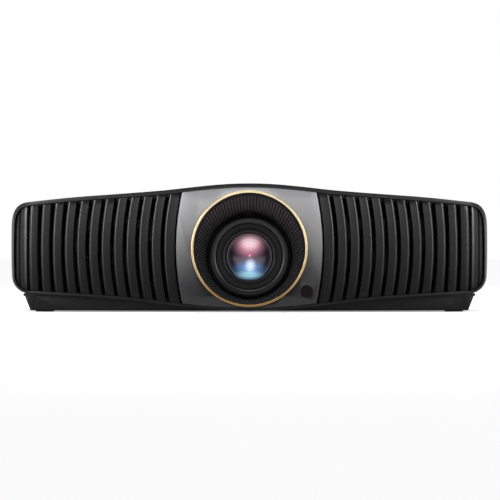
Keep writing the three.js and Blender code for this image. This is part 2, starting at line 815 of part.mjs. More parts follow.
for (const [name, side] of [['shift_knob_upright', -1], ['shift_knob_sideways', 1]]) {
  const knob = piece(name, turnedUpright([
    [0, bracketTop - knobTop - knobTail],
    [knobShaft, bracketTop - knobTop - knobTail],
    [knobShaft, -knobHeight],
    [knobRadius, -knobHeight],
    [knobRadius, -knobEdge],
    [knobRadius - knobEdge, 0],
    [0, 0],
  ], 20), keyGrey);
  knob.position.set((side * knobSpacing) / 2, knobY, knobTop);
}

// ---- Top cover, with a trough for the sliding door and a cut-out for the control panel ----

// A strip of the crown between two depths under its skin
function crownBand(half, from, to, yLow, yHigh) {
  const steps = 12;
  const xs = Array.from({ length: steps + 1 }, (unused, i) => half * ((2 * i) / steps - 1));
  const upper = xs.map((x) => new THREE.Vector2(x, crownAt(x) - from));
  const lower = xs.map((x) => new THREE.Vector2(x, crownAt(x) - to));
  return alongY([...lower, ...upper.reverse()], yLow, yHigh);
}

const troughFront = knobY - doorLength / 2;
const troughBack = troughFront + doorLength + doorTravel + gap;
const controlCentre = [panelAt[0], panelAt[1], crownAt(panelAt[0])];
const controlSlope = Math.atan(
  (crownAt(panelAt[0] - panelSize[0] / 2) - crownAt(panelAt[0] + panelSize[0] / 2)) / panelSize[0],
);
const controls = groupAt(...controlCentre);
controls.rotation.y = controlSlope;
controls.updateMatrix();

function coverSolid() {
  const shell = alongY(coverOutline, ...wholeDepth)
    .intersect(planSolid(0))
    .intersect(planSolid(0, frameDepth + gap));
  const inside = alongY(drawnIn(coverOutline, () => coverWall), ...wholeDepth)
    .intersect(planSolid(coverWall));
  const mouthHalf = lowerCorner.x - coverWall;
  const mouth = box(
    [-mouthHalf, frontEdge, splitHeight - past],
    [mouthHalf, rearEdge - coverWall, splitHeight + 2 * coverWall],
  ).intersect(planSolid(coverWall));
  const panHalf = doorWidth / 2 + troughRim;
  const panDepth = [coverWall / 2, troughDepth + troughFloor];
  const pan = crownBand(panHalf, ...panDepth, troughFront - troughRim, troughBack + troughRim);
  const trough = crownBand(doorWidth / 2, -past, troughDepth, troughFront, troughBack);
  const hatch = box(
    [doorLap - doorWidth / 2, troughFront + doorLap, caseHeight / 2],
    [doorWidth / 2 - doorLap, troughFront + doorLength - doorLap, caseHeight],
  );
  const outline = roundedRectangle(panelSize[0] + 2 * gap, panelSize[1] + 2 * gap, panelCorner + gap);
  const cutOut = extrusion(outline, 2 * past).translate(0, 0, -past);
  const control = solidOf(cutOut.applyMatrix4(controls.matrix));
  const rear = alongY(
    roundedRectangle(2 * (halfWidth - rearIn), rearTop - rearBottom, rearCorners[0]).map((point) => (
      new THREE.Vector2(point.x, point.y + (rearTop + rearBottom) / 2)
    )),
    rearEdge - past,
    rearEdge + past,
  );
  return cut(cut(shell, [inside, mouth]).add(pan), [trough, hatch, control, rear]);
}

piece('top_cover', coverSolid(), caseBlack);

function doorSolid() {
  const span = [troughFront + gap, troughFront + doorLength];
  const plate = crownBand(doorWidth / 2 - gap, 0, doorThickness, ...span);
  const [width, length, depth] = gripSize;
  const grip = Array.from({ length: gripRows }, (unused, row) => {
    const y = troughFront + doorLength - gripFromEdge - row * gripPitch;
    return box([-width / 2, y, caseHeight - depth], [width / 2, y + length, caseHeight + past]);
  });
  return cut(plate, grip);
}

piece('shift_door', doorSolid(), caseBlack);

// ---- Control panel and keys ----

const keyPlaces = {
  power_key: [keyColumns[0], keyRow],
  source_key: [keyColumns[0], -keyRow],
  menu_key: [keyColumns[1], keyRow],
  back_key: [keyColumns[1], -keyRow],
};
const flangeTop = -panelDeep - gap;
const flangeLow = flangeTop - keyFlange[1];

function controlPanelSolid() {
  const plate = alongZ(roundedRectangle(...panelSize, panelCorner), -panelDeep, 0);
  const holes = Object.values(keyPlaces).map(([x, y]) => rodUpright(keyRadius + gap, -past, past, 16, x, y));
  return cut(plate, [...holes, rodUpright(padRadius[1] + gap, -past, past, 24, padAt, 0)]);
}

piece('control_panel', controlPanelSolid(), socketBlack, controls);

for (const [name, [x, y]] of Object.entries(keyPlaces)) {
  const key = piece(name, turnedUpright([
    [0, flangeLow],
    [keyRadius + keyFlange[0], flangeLow],
    [keyRadius + keyFlange[0], flangeTop],
    [keyRadius, flangeTop],
    [keyRadius, keyStand],
    [0, keyStand],
  ], 16), keyGrey, controls);
  key.position.set(x, y, 0);
}

const pad = piece('direction_pad', turnedUpright([
  [padRadius[0], flangeLow],
  [padRadius[1] + keyFlange[0], flangeLow],
  [padRadius[1] + keyFlange[0], flangeTop],
  [padRadius[1], flangeTop],
  [padRadius[1], keyStand],
  [padRadius[0], keyStand],
], 24), keyGrey, controls);
pad.position.set(padAt, 0, 0);

const confirmLow = flangeLow - padCentreTail;
const confirmRod = rodUpright(padCentreRadius, confirmLow, keyStand, 16);
const confirm = piece('confirm_key', confirmRod, keyGrey, controls);
confirm.position.set(padAt, 0, 0);

const keyBoardTop = confirmLow - keyTravel - 2 * gap;
const [boardX, boardY] = panelSize.map((length) => length / 2 - keyBoardIn);
const keyBoard = box([-boardX, -boardY, keyBoardTop - boardThickness], [boardX, boardY, keyBoardTop]);
piece('key_board', keyBoard, boardGreen, controls);

// ---- Bottom tray and feet ----

const trayTopHalf = lowerCorner.x + trayFlangeOut;
const trayTop = splitHeight - gap;
const bossTop = footHeight + bossRise;
const pocketRadius = footRadius + pocketPlay;
const footX = halfWidth - footIn;
const frontFootY = frontAt(footX) + frontFootAt;
const footPlaces = {
  front_left: [-footX, frontFootY],
  front_right: [footX, frontFootY],
  rear_left: [-footX, rearEdge - rearFootAt],
  rear_right: [footX, rearEdge - rearFootAt],
};

function trayFrustum(wall, floor) {
  const low = trayTopHalf - trayTaper - wall;
  const high = trayTopHalf - wall;
  const slope = (high - low) / (trayTop - trayBottom);
  const top = floor > trayBottom ? trayTop + past : trayTop;
  const outline = [
    [-low, floor],
    [low, floor],
    [low + slope * (top - floor), top],
    [-low - slope * (top - floor), top],
  ].map(([x, z]) => new THREE.Vector2(x, z));
  const plan = planSolid(halfWidth - trayTopHalf + wall).intersect(planSolid(0, frameDepth + gap + wall));
  return alongY(outline, ...wholeDepth).intersect(plan);
}

function traySolid() {
  const skirt = box([-trayTopHalf, frontEdge, trayTop - trayFlange], [trayTopHalf, rearEdge, trayTop])
    .intersect(planSolid(gap))
    .intersect(planSolid(0, frameDepth + gap));
  const places = Object.values(footPlaces);
  const bosses = places.map(([x, y]) => rodUpright(pocketRadius + bossWall, trayBottom, bossTop, 20, x, y));
  const pocketTop = footHeight + pocketPlay;
  const pockets = places.map(([x, y]) => rodUpright(pocketRadius, 0, pocketTop, 20, x, y));
  const bores = places.map(([x, y]) => rodUpright(studRadius + runningFit, 0, bossTop + past, 14, x, y));
  const hoodOuter = mouthRadius + hoodWall;
  const [beside, around] = trayNotch;
  const notch = box(
    [-hoodOuter - beside, frontEdge, lensHeight - hoodOuter - around],
    [hoodOuter + beside, frontEdge + hoodDepth + around, trayTop + past],
  );
  const tub = trayFrustum(0, trayBottom).add(skirt).subtract(trayFrustum(trayWall, trayBottom + trayWall));
  return cut(join([tub, ...bosses]), [...pockets, ...bores, notch]);
}

piece('bottom_tray', traySolid(), caseBlack);

for (const [corner, [x, y]] of Object.entries(footPlaces)) {
  const foot = groupAt(x, y, 0);
  const socket = rodUpright(studRadius + gap, studUp, footHeight + past, 14);
  piece(`foot_pad_${corner}`, rodUpright(footRadius, 0, footHeight, 24).subtract(socket), rubber, foot);
  const stud = piece(`foot_stud_${corner}`, rodUpright(studRadius, 0, studLength, 14), steel, foot);
  stud.position.z = studUp + gap;
}

// ---- Rear panel and sockets ----

const rearMiddle = (rearTop + rearBottom) / 2;
const rearSize = [2 * (halfWidth - rearIn) - 2 * gap, rearTop - rearBottom - 2 * gap];
const rearFace = rearEdge - rearSetback;
const sockets = {
  mains: { at: -172, size: [30, 22], bore: [24.4, 16.4], deep: 15 },
  network: { at: -66, size: [16, 14], bore: [11.8, 8.4], deep: 12 },
  video_one: { at: -26, size: [17, 7.4], bore: [14.8, 5.2], deep: 9, tongue: [11, 1.6] },
  video_two: { at: 6, size: [17, 7.4], bore: [14.8, 5.2], deep: 9, tongue: [11, 1.6] },
  service: { at: 38, size: [15.4, 8], bore: [13, 5.8], deep: 10, tongue: [11, 2] },
  serial: { at: 82, size: [31, 12.8], bore: [17.6, 9], deep: 6, tongue: [15.4, 6.6] },
};
const jacks = { trigger: 122, audio: 146 };
const socketFace = rearEdge - socketSetback;
const socketBack = socketFace - socketDepth;

// Moves a flat outline to its place on the rear panel
const onRear = (points, x) => points.map((point) => new THREE.Vector2(point.x + x, point.y + socketRow));

function rearPanelSolid() {
  const lift = (points) => points.map((point) => new THREE.Vector2(point.x, point.y + rearMiddle));
  const through = [rearEdge - past, rearEdge + past];
  const flangeFace = rearEdge - coverWall - gap;
  const plate = alongY(lift(roundedRectangle(...rearSize, rearCorners[0])), flangeFace - weld, rearFace);
  const flangeOutline = roundedRectangle(...rearSize.map((value) => value + 2 * rearFlange), rearCorners[1]);
  const flange = alongY(lift(flangeOutline), flangeFace - rearFlangeThickness, flangeFace);
  const holes = Object.values(sockets).map(({ at, size: [width, height] }) => (
    alongY(onRear(roundedRectangle(width + 2 * gap, height + 2 * gap, socketCorner, 1), at), ...through)
  ));
  const jackHoles = Object.values(jacks).map((at) => (
    rodAlongY(jackRadius + gap, ...through, 20, at, socketRow)
  ));
  return cut(plate.add(flange), [...holes, ...jackHoles]);
}

piece('rear_panel', rearPanelSolid(), caseBlack);

// The mains pins, or with some play the slots they pass through
function pins(play, yLow, yHigh) {
  const [halfWide, halfHigh] = pinSize.map((length) => length / 2 + play);
  return pinPlaces.map(([x, z]) => (
    box([x - halfWide, yLow, z - halfHigh], [x + halfWide, yHigh, z + halfHigh])
  ));
}

for (const [name, { at, size, bore, deep, tongue }] of Object.entries(sockets)) {
  const place = groupAt(at, socketFace, socketRow);
  const hollow = alongY(roundedRectangle(...bore, socketCorner, 1), -deep, past);
  let shell = alongY(roundedRectangle(...size, socketCorner, 1), -socketDepth, 0).subtract(hollow);
  if (tongue) {
    const [width, thickness] = tongue;
    const low = [-width / 2, -deep - weld, -thickness / 2];
    shell = shell.add(box(low, [width / 2, -tongueSetback, thickness / 2]));
  }
  if (name === 'mains') {
    const [carrierWidth, carrierHeight, carrierThickness] = pinCarrier;
    const carrierBack = -socketDepth - carrierThickness;
    shell = cut(shell, pins(gap, -socketDepth - past, weld - deep));
    const carrier = box(
      [-carrierWidth / 2, carrierBack, -carrierHeight / 2],
      [carrierWidth / 2, -socketDepth - gap, carrierHeight / 2],
    );
    piece('mains_pins', join([carrier, ...pins(0, carrierBack, pinFront)]), steel, place);
  }
  piece(`${name}_socket`, shell, tongue ? steel : socketBlack, place);
}

for (const [name, at] of Object.entries(jacks)) {
  const jack = rodAlongY(jackRadius, -socketDepth, 0, 20).subtract(rodAlongY(jackBore, -jackDeep, past, 12));
  piece(`${name}_jack`, jack, socketBlack, groupAt(at, socketFace, socketRow));
}

// ---- Works ----

const floorTop = trayBottom + trayWall;
const chassisHalf = halfWidth - chassisIn;
const chassisFront = frontAt(chassisHalf) + frameDepth + trayWall + chassisPlay;
const worksBack = socketBack - pinCarrier[2] - gap;
piece('chassis_plate', box(
  [-chassisHalf, chassisFront, floorTop + 2 * gap],
  [chassisHalf, worksBack - chassisBehind, chassisTop],
), aluminium);

const mainBoardBack = worksBack - mainBoardBehind;
piece('main_board', box(
  [mainBoardAt - mainBoardHalf, mainBoardBack - boardThickness, chassisTop + mainBoardLift],
  [mainBoardAt + mainBoardHalf, mainBoardBack, crownAt(chassisHalf) - coverWall - mainBoardDrop],
), boardGreen);

const onChassis = chassisTop + gap;
const engineFront = frontEdge + basePlateBack + gap;
const engineBack = engineFront + engineLength;
const portBack = frontEdge + barrelBack + portPast;
const enginePort = rodAlongY(portRadius, engineFront - past, portBack, round, 0, lensHeight);
const engineBody = box(
  [-engineHalf, engineFront, onChassis],
  [engineHalf, engineBack, caseHeight - engineHeadroom],
);
piece('light_engine', engineBody.subtract(enginePort), aluminium);

function heatSinkSolid() {
  const [low, high] = sinkSpan;
  const front = engineBack + gap;
  const base = box([-engineHalf, front, low], [engineHalf, front + sinkBase, high]);
  const finPitch = (2 * engineHalf - finThickness) / (finCount - 1);
  const fins = Array.from({ length: finCount }, (unused, i) => {
    const x = i * finPitch - engineHalf;
    return box([x, front + sinkBase - weld, low], [x + finThickness, front + finReach, high]);
  });
  return join([base, ...fins]);
}

piece('heat_sink', heatSinkSolid(), aluminium);

const [wheelX, wheelZ] = wheelAt;
const wheelY = engineFront + wheelBehind;
const motor = groupAt(wheelX, wheelY, wheelZ);
const [shaftRadius, shaftLength, shaftBore] = motorShaft;
const [armThickness, armHeight] = motorArm;
const motorCase = rodAlongY(motorRadius, ...motorSpan, 24);
const arm = box(
  [engineHalf + gap - wheelX, motorArmAt, -armHeight / 2],
  [0, motorArmAt + armThickness, armHeight / 2],
);
const motorHole = rodAlongY(shaftRadius + runningFit, 0, shaftBore, 16);
piece('wheel_motor', motorCase.add(arm).subtract(motorHole), steel, motor);

const [hubRadius, hubLength] = wheelHub;
piece('colour_wheel', turned([
  [0, -hubLength],
  [hubRadius, -hubLength],
  [hubRadius, -wheelThickness / 2],
  [wheelRadius, -wheelThickness / 2],
  [wheelRadius, wheelThickness / 2],
  [shaftRadius, wheelThickness / 2],
  [shaftRadius, shaftLength],
  [0, shaftLength],
], 24), glass, motor);

// A box from its low corner and its size
const block = (low, size) => box(low, low.map((value, i) => value + size[i]));

const lampLow = [lampAt[0], wheelY + lampAt[1], onChassis];
const lampMiddle = lampLow[0] + lampSize[0] / 2;
const lampBack = lampLow[1] + lampSize[1];
piece('lamp_module', join([
  block(lampLow, lampSize),
  block([lampMiddle - lampCap[0] / 2, lampBack - weld, onChassis + lampCapUp], lampCap),
]), innerBlack);

const supplyTop = chassisTop + supplyLift + boardThickness;
const [supplyX, supplyY] = supplyAt;
const [canRadius, canHeight] = capacitorSize;
const supplyParts = supplyBlocks.map(([x, y, ...size]) => (
  block([supplyX + x, supplyY + y, supplyTop - weld / 2], size)
));
const capacitors = Array.from({ length: capacitorCount }, (unused, i) => rodUpright(
  canRadius,
  supplyTop - weld / 2,
  supplyTop + canHeight,
  20,
  supplyX + capacitorAt[0],
  supplyY + capacitorAt[1] + i * capacitorPitch,
));
piece('power_supply', join([
  block([supplyX, supplyY, chassisTop + supplyLift], [...supplySize, boardThickness]),
  ...supplyParts,
  ...capacitors,
]), boardGreen);

const [strutWidth, strutThickness] = fanStrut;
const strutFront = fanDepth - strutThickness;

function fanFrameSolid() {
  const half = fanSize / 2;
  const frame = alongY(roundedRectangle(fanSize, fanSize, fanCorner), 0, fanDepth);
  const throat = rodAlongY(half - fanWall, -past, fanDepth + past, 28);
  const reach = half - fanWall + weld / 2;
  const struts = join([
    box([-reach, strutFront, -strutWidth / 2], [reach, fanDepth, strutWidth / 2]),
    box([-strutWidth / 2, strutFront, -reach], [strutWidth / 2, fanDepth, reach]),
    rodAlongY(fanBoss, strutFront, fanDepth, 16),
  ]);
  const bearing = rodAlongY(fanShaft + runningFit, strutFront - past, fanDepth + past, 16);
  return frame.subtract(throat).add(struts).subtract(bearing);
}

function fanRotorSolid() {
  const tip = fanSize / 2 - fanWall - fanTipPlay;
  const root = fanHub - fanTipPlay;
  const hub = rodAlongY(fanHub, strutThickness, strutFront - weld, 20);
  const shaft = rodAlongY(fanShaft, strutFront - 2 * weld, fanDepth - gap, 16);
  const [thickness, chord] = fanBlade;
  const blades = Array.from({ length: fanBlades }, (unused, i) => {
    const blade = new THREE.BoxGeometry(tip - root, thickness, chord);
    blade.rotateX(Math.PI / 4).translate((tip + root) / 2, strutFront / 2 + thickness / 2, 0);
    return solidOf(blade.rotateY((2 * Math.PI * i) / fanBlades));
  });
  return join([hub, shaft, ...blades]);
}

for (const [name, side] of [['intake', -1], ['exhaust', 1]]) {
  const fan = groupAt(side * fanAt, frontEdge + fanFromFront, onChassis + fanSize / 2);
  piece(`${name}_fan_frame`, fanFrameSolid(), socketBlack, fan);
  piece(`${name}_fan_rotor`, fanRotorSolid(), innerBlack, fan);
}

export default group;
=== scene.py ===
import json
import math

import bpy
import bmesh
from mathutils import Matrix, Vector
from mathutils.bvhtree import BVHTree


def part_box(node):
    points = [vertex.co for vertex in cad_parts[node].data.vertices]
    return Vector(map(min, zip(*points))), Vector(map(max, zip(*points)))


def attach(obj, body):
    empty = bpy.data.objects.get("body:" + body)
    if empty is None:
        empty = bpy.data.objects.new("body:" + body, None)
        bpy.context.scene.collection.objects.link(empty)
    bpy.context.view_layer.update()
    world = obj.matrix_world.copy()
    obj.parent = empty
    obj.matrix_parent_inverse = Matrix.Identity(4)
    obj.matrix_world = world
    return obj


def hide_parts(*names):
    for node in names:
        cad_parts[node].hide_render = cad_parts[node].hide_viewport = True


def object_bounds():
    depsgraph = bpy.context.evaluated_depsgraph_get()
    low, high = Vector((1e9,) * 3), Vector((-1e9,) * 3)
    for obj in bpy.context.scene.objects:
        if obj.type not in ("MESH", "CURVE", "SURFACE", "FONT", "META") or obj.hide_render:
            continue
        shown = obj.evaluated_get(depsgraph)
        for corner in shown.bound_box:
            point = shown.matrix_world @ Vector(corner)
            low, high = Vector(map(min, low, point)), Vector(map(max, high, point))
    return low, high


# Home cinema projector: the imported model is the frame, and the finer pieces are made here.
# Metres, +Z up, the lens looks along -Y.
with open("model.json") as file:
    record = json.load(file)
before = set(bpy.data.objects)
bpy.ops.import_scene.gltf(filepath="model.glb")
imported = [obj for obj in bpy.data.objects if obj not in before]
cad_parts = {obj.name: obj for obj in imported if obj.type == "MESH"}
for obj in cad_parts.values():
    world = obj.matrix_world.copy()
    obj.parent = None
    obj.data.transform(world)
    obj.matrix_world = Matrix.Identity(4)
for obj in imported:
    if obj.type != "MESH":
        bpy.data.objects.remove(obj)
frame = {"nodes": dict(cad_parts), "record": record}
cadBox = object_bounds()
nodes = frame["nodes"]
mm = 0.001


def cornersOf(node):
    low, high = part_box(node)
    return Vector(low), Vector(high)


def middleOf(node):
    low, high = cornersOf(node)
    return (low + high) / 2


def deselectAll():
    if bpy.context.object and bpy.context.object.mode != "OBJECT":
        bpy.ops.object.mode_set(mode="OBJECT")
    bpy.ops.object.select_all(action="DESELECT")


def makeActive(piece):
    deselectAll()
    piece.select_set(True)
    bpy.context.view_layer.objects.active = piece


def editMode(piece, kind="VERT"):
    makeActive(piece)
    bpy.ops.object.mode_set(mode="EDIT")
    bpy.ops.mesh.select_mode(type=kind)
    bpy.ops.mesh.select_all(action="DESELECT")


def objectMode():
    bpy.ops.object.mode_set(mode="OBJECT")


def pick(piece, kind, test):
    # selects the vertices, edges or faces that pass a test, in edit mode
    mesh = bmesh.from_edit_mesh(piece.data)
    for part in getattr(mesh, kind):
        part.select_set(bool(test(part)))
    mesh.select_flush_mode()
    bmesh.update_edit_mesh(piece.data)


def applied(piece):
    makeActive(piece)
    bpy.ops.object.transform_apply(location=True, rotation=True, scale=True)


def addModifier(piece, kind, **settings):
    modifier = piece.modifiers.new(kind.title(), kind)
    for name, value in settings.items():
        setattr(modifier, name, value)
    return modifier


def applyModifier(piece, modifier):
    makeActive(piece)
    bpy.ops.object.modifier_apply(modifier=modifier.name)


def smooth(piece, angle=30):
    makeActive(piece)
    bpy.ops.object.shade_smooth_by_angle(angle=math.radians(angle))


def joined(name, pieces):
    deselectAll()
    for piece in pieces:
        piece.select_set(True)
    bpy.context.view_layer.objects.active = pieces[0]
    if len(pieces) > 1:
        bpy.ops.object.join()
    whole = bpy.context.object
    whole.name = whole.data.name = name
    return whole


def copied(piece):
    # a copy with its own mesh
    twin = piece.copy()
    twin.data = piece.data.copy()
    bpy.context.scene.collection.objects.link(twin)
    return twin


def rounded(piece, width, segments, angle):
    # rounds every edge sharper than this angle
    bevel = addModifier(piece, "BEVEL", width=width * mm, segments=segments, limit_method="ANGLE",
                        angle_limit=math.radians(angle))
    applyModifier(piece, bevel)


def raised(height):
    # pushes the selected faces out along their normals, or in when below zero
    bpy.ops.mesh.extrude_region_shrink_fatten(TRANSFORM_OT_shrink_fatten={"value": height * mm})


def facesOutward():
    bpy.ops.mesh.select_all(action="SELECT")
    bpy.ops.mesh.normals_make_consistent(inside=False)


def treeOf(node):
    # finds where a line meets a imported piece
    mesh = nodes[node].data
    return BVHTree.FromPolygons([vertex.co for vertex in mesh.vertices],
                                [face.vertices for face in mesh.polygons])


def dress(piece, material):
    piece.data.materials.clear()
    piece.data.materials.append(material)


def handOver(piece, body, slot, material, *replaced):
    dress(piece, material)
    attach(piece, body)
    if replaced:
        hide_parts(*replaced)


# The stage: pale floor, white room, soft boxes and the camera
stage = {
    "distance": 5.0, "focal": 346.6, "aimX": 0.7 * mm, "aimZ": 63.8 * mm, "plane": -85 * mm,
    "room": 1.0, "dim": 0.03, "dimFrom": -0.55, "roomFrom": 0.25,
    "floor": (0.9, 0.9, 0.91), "floorGlow": 0.38,
}


def makeStage():
    deselectAll()
    bpy.ops.mesh.primitive_plane_add(size=40, location=(0, 8, 0))
    floor = bpy.context.object
    floor.name = "floor"
    paint = bpy.data.materials.new("floorPaint")
    paint.use_nodes = True
    shader = paint.node_tree.nodes["Principled BSDF"]
    shader.inputs["Base Color"].default_value = (*stage["floor"], 1)
    shader.inputs["Roughness"].default_value = 0.9
    shader.inputs["Emission Color"].default_value = (1, 1, 1, 1)
    shader.inputs["Emission Strength"].default_value = stage["floorGlow"]
    dress(floor, paint)
    world = bpy.context.scene.world or bpy.data.worlds.new("room")
    bpy.context.scene.world = world
    world.use_nodes = True
    # white behind the projector, dim in front of it and above it
    tree = world.node_tree
    background = tree.nodes["Background"]
    away = tree.nodes.new("ShaderNodeSeparateXYZ")
    tree.links.new(tree.nodes.new("ShaderNodeTexCoord").outputs["Generated"], away.inputs[0])
    share = tree.nodes.new("ShaderNodeMapRange")
    share.interpolation_type = "SMOOTHSTEP"
    share.inputs["From Min"].default_value = stage["dimFrom"]
    share.inputs["From Max"].default_value = stage["roomFrom"]
    share.inputs["To Min"].default_value = stage["dim"]
    share.inputs["To Max"].default_value = stage["room"]
    tree.links.new(away.outputs["Y"], share.inputs["Value"])
    tree.links.new(share.outputs[0], background.inputs["Strength"])
    background.inputs["Color"].default_value = (1, 1, 1, 1)
    boxes = [
        ("overhead", (-0.15, -0.75, 1.35), 1.3, 0.35, 13),
        ("leftBox", (-1.35, -1.0, 0.5), 0.3, 0.9, 24),
        ("rightBox", (1.35, -1.0, 0.5), 0.3, 0.9, 20),
        ("backBox", (0.3, 1.7, 1.2), 1.2, 0.8, 9),
    ]
    for name, place, width, height, watts in boxes:
        bpy.ops.object.light_add(type="AREA", location=place)
        lamp = bpy.context.object
        lamp.name = name
        lamp.data.shape = "RECTANGLE"
        lamp.data.size = width
        lamp.data.size_y = height
        lamp.data.energy = watts
        aim = Vector((0, -0.05, 0.06)) - Vector(place)
        lamp.rotation_euler = aim.to_track_quat("-Z", "Y").to_euler()
    place = (stage["aimX"], stage["plane"] - stage["distance"], stage["aimZ"])
    bpy.ops.object.camera_add(location=place, rotation=(math.pi / 2, 0, 0))
    camera = bpy.context.object
    camera.data.lens = stage["focal"]
    camera.data.clip_end = 50
    bpy.context.scene.camera = camera
    bpy.context.scene.view_settings.view_transform = "Standard"


makeStage()
print("stage ready")


# Shader groups shared by the materials
def newGroup(name, inputs, outputs):
    group = bpy.data.node_groups.new(name, "ShaderNodeTree")
    for label, kind, value in inputs:
        socket = group.interface.new_socket(name=label, in_out="INPUT", socket_type=kind)
        if value is not None:
            socket.default_value = value
    for label, kind in outputs:
        group.interface.new_socket(name=label, in_out="OUTPUT", socket_type=kind)
    return group, group.nodes.new("NodeGroupInput"), group.nodes.new("NodeGroupOutput")


def addNode(tree, kind, links=None, **settings):
    node = tree.nodes.new("ShaderNode" + kind)
    for name, value in settings.items():
        setattr(node, name, value)
    for label, source in (links or {}).items():
        socket = node.inputs[label]
        if isinstance(source, (int, float, tuple)):
            socket.default_value = source
        else:
            tree.links.new(source, socket)
    return node


def makeGrainGroup():
    # fine moulded grain over broad, faint patches
    group, given, result = newGroup(
        "mouldedGrain",
        [("Vector", "NodeSocketVector", None), ("Grain Scale", "NodeSocketFloat", 1500.0),
         ("Grain Depth", "NodeSocketFloat", 0.5), ("Patchiness", "NodeSocketFloat", 0.15)],
        [("Tint", "NodeSocketFloat"), ("Roughness", "NodeSocketFloat"), ("Height", "NodeSocketFloat")],
    )
    fine = addNode(group, "TexNoise", {
        "Vector": given.outputs["Vector"], "Scale": given.outputs["Grain Scale"], "Detail": 2.0})
    broad = addNode(group, "TexNoise", {"Vector": given.outputs["Vector"], "Scale": 14.0, "Detail": 3.0})
    centred = addNode(group, "Math", {0: broad.outputs["Fac"], 1: 0.5}, operation="SUBTRACT")
    patch = addNode(group, "Math", {
        0: centred.outputs[0], 1: given.outputs["Patchiness"]}, operation="MULTIPLY")
    fineCentred = addNode(group, "Math", {0: fine.outputs["Fac"], 1: 0.5}, operation="SUBTRACT")
    speck = addNode(group, "Math", {0: fineCentred.outputs[0], 1: 0.35}, operation="MULTIPLY")
    both = addNode(group, "Math", {0: patch.outputs[0], 1: speck.outputs[0]}, operation="ADD")
    tint = addNode(group, "Math", {0: both.outputs[0], 1: 1.0}, operation="ADD")
    height = addNode(group, "Math", {
        0: fine.outputs["Fac"], 1: given.outputs["Grain Depth"]}, operation="MULTIPLY")
    group.links.new(tint.outputs[0], result.inputs["Tint"])
    group.links.new(patch.outputs[0], result.inputs["Roughness"])
    group.links.new(height.outputs[0], result.inputs["Height"])
    return group


def makeEdgeGroup():
    # lighter edges: partly wear where hands and boxes have rubbed, partly a painted highlight along the edges
    group, given, result = newGroup(
        "rubbedEdgesAndPaintedHighlight",
        [("Pointiness", "NodeSocketFloat", 0.5), ("Amount", "NodeSocketFloat", 0.5),
         ("Vector", "NodeSocketVector", None)],
        [("Mask", "NodeSocketFloat")],
    )
    spread = addNode(group, "MapRange", {
        "Value": given.outputs["Pointiness"], "From Min": 0.51, "From Max": 0.58})
    broken = addNode(group, "TexNoise", {"Vector": given.outputs["Vector"], "Scale": 160.0, "Detail": 4.0})
    patchy = addNode(group, "Math", {0: spread.outputs[0], 1: broken.outputs["Fac"]}, operation="MULTIPLY")
    amount = addNode(group, "Math", {0: patchy.outputs[0], 1: given.outputs["Amount"]}, operation="MULTIPLY")
    group.links.new(amount.outputs[0], result.inputs["Mask"])
    return group


grainGroup = makeGrainGroup()
edgeGroup = makeEdgeGroup()


def placedGroup(tree, group, links):
    node = tree.nodes.new("ShaderNodeGroup")
    node.node_tree = group
    for label, source in links.items():
        if isinstance(source, (int, float)):
            node.inputs[label].default_value = source
        else:
            tree.links.new(source, node.inputs[label])
    return node


def finish(name, colour, rough, metallic=0.0, scale=1500.0, depth=0.5, patch=0.15, bump=0.12,
           edgeWearAndHighlight=0.0, edgeWearAndHighlightColour=(0.2, 0.2, 0.2), coat=0.0, specular=0.5, paintedLightRamp=None, sheenRamp=None):
    # the height ramp: (low, high, colour below, colour above) paints light and shade over the height, darker
    # below and lighter above
    # sheenRamp: (low, high, lowLevel, highLevel) blends two shine levels over the height
    material = bpy.data.materials.new(name)
    material.use_nodes = True
    tree = material.node_tree
    shader = tree.nodes["Principled BSDF"]
    place = addNode(tree, "TexCoord").outputs["Object"]
    grain = placedGroup(tree, grainGroup, {
        "Vector": place, "Grain Scale": scale, "Grain Depth": depth, "Patchiness": patch})
    base = addNode(tree, "Mix", data_type="RGBA", blend_type="MULTIPLY")
    base.inputs["Factor"].default_value = 1.0
    base.inputs[6].default_value = (*colour, 1)
    # painted light and shade: the colour darkens towards the bottom and lightens towards the top
    if paintedLightRamp:
        low, high, shadedColour, litColour = paintedLightRamp
        height = addNode(tree, "SeparateXYZ", {"Vector": place}).outputs["Z"]
        share = addNode(tree, "MapRange", {"Value": height, "From Min": low, "From Max": high})
        share.interpolation_type = "SMOOTHSTEP"
        blend = addNode(tree, "Mix", {"Factor": share.outputs[0]}, data_type="RGBA")
        blend.inputs[6].default_value = (*shadedColour, 1)
        blend.inputs[7].default_value = (*litColour, 1)
        tree.links.new(blend.outputs[2], base.inputs[6])
    tree.links.new(grain.outputs["Tint"], base.inputs[7])
    colourOut = base.outputs[2]
    # the edges are painted lighter: partly wear, partly a painted highlight
    if edgeWearAndHighlight:
        geometry = addNode(tree, "NewGeometry")
        edges = placedGroup(tree, edgeGroup, {
            "Pointiness": geometry.outputs["Pointiness"], "Amount": edgeWearAndHighlight, "Vector": place})
        wornAndLitEdges = addNode(tree, "Mix", {"Factor": edges.outputs["Mask"], 6: colourOut}, data_type="RGBA")
        wornAndLitEdges.inputs[7].default_value = (*edgeWearAndHighlightColour, 1)
        colourOut = wornAndLitEdges.outputs[2]
    tree.links.new(colourOut, shader.inputs["Base Color"])
    roughness = addNode(tree, "Math", {0: grain.outputs["Roughness"], 1: rough}, operation="ADD")
    tree.links.new(roughness.outputs[0], shader.inputs["Roughness"])
    relief = addNode(tree, "Bump", {"Height": grain.outputs["Height"], "Strength": bump, "Distance": 0.0002})
    tree.links.new(relief.outputs["Normal"], shader.inputs["Normal"])
    shader.inputs["Metallic"].default_value = metallic
    shader.inputs["Coat Weight"].default_value = coat
    shader.inputs["Specular IOR Level"].default_value = specular
    if sheenRamp:
        height = addNode(tree, "SeparateXYZ", {"Vector": place}).outputs["Z"]
        low, high, lowLevel, highLevel = sheenRamp
        level = addNode(tree, "MapRange", {
            "Value": height, "From Min": low, "From Max": high, "To Min": lowLevel, "To Max": highLevel})
        tree.links.new(level.outputs[0], shader.inputs["Specular IOR Level"])
    return material
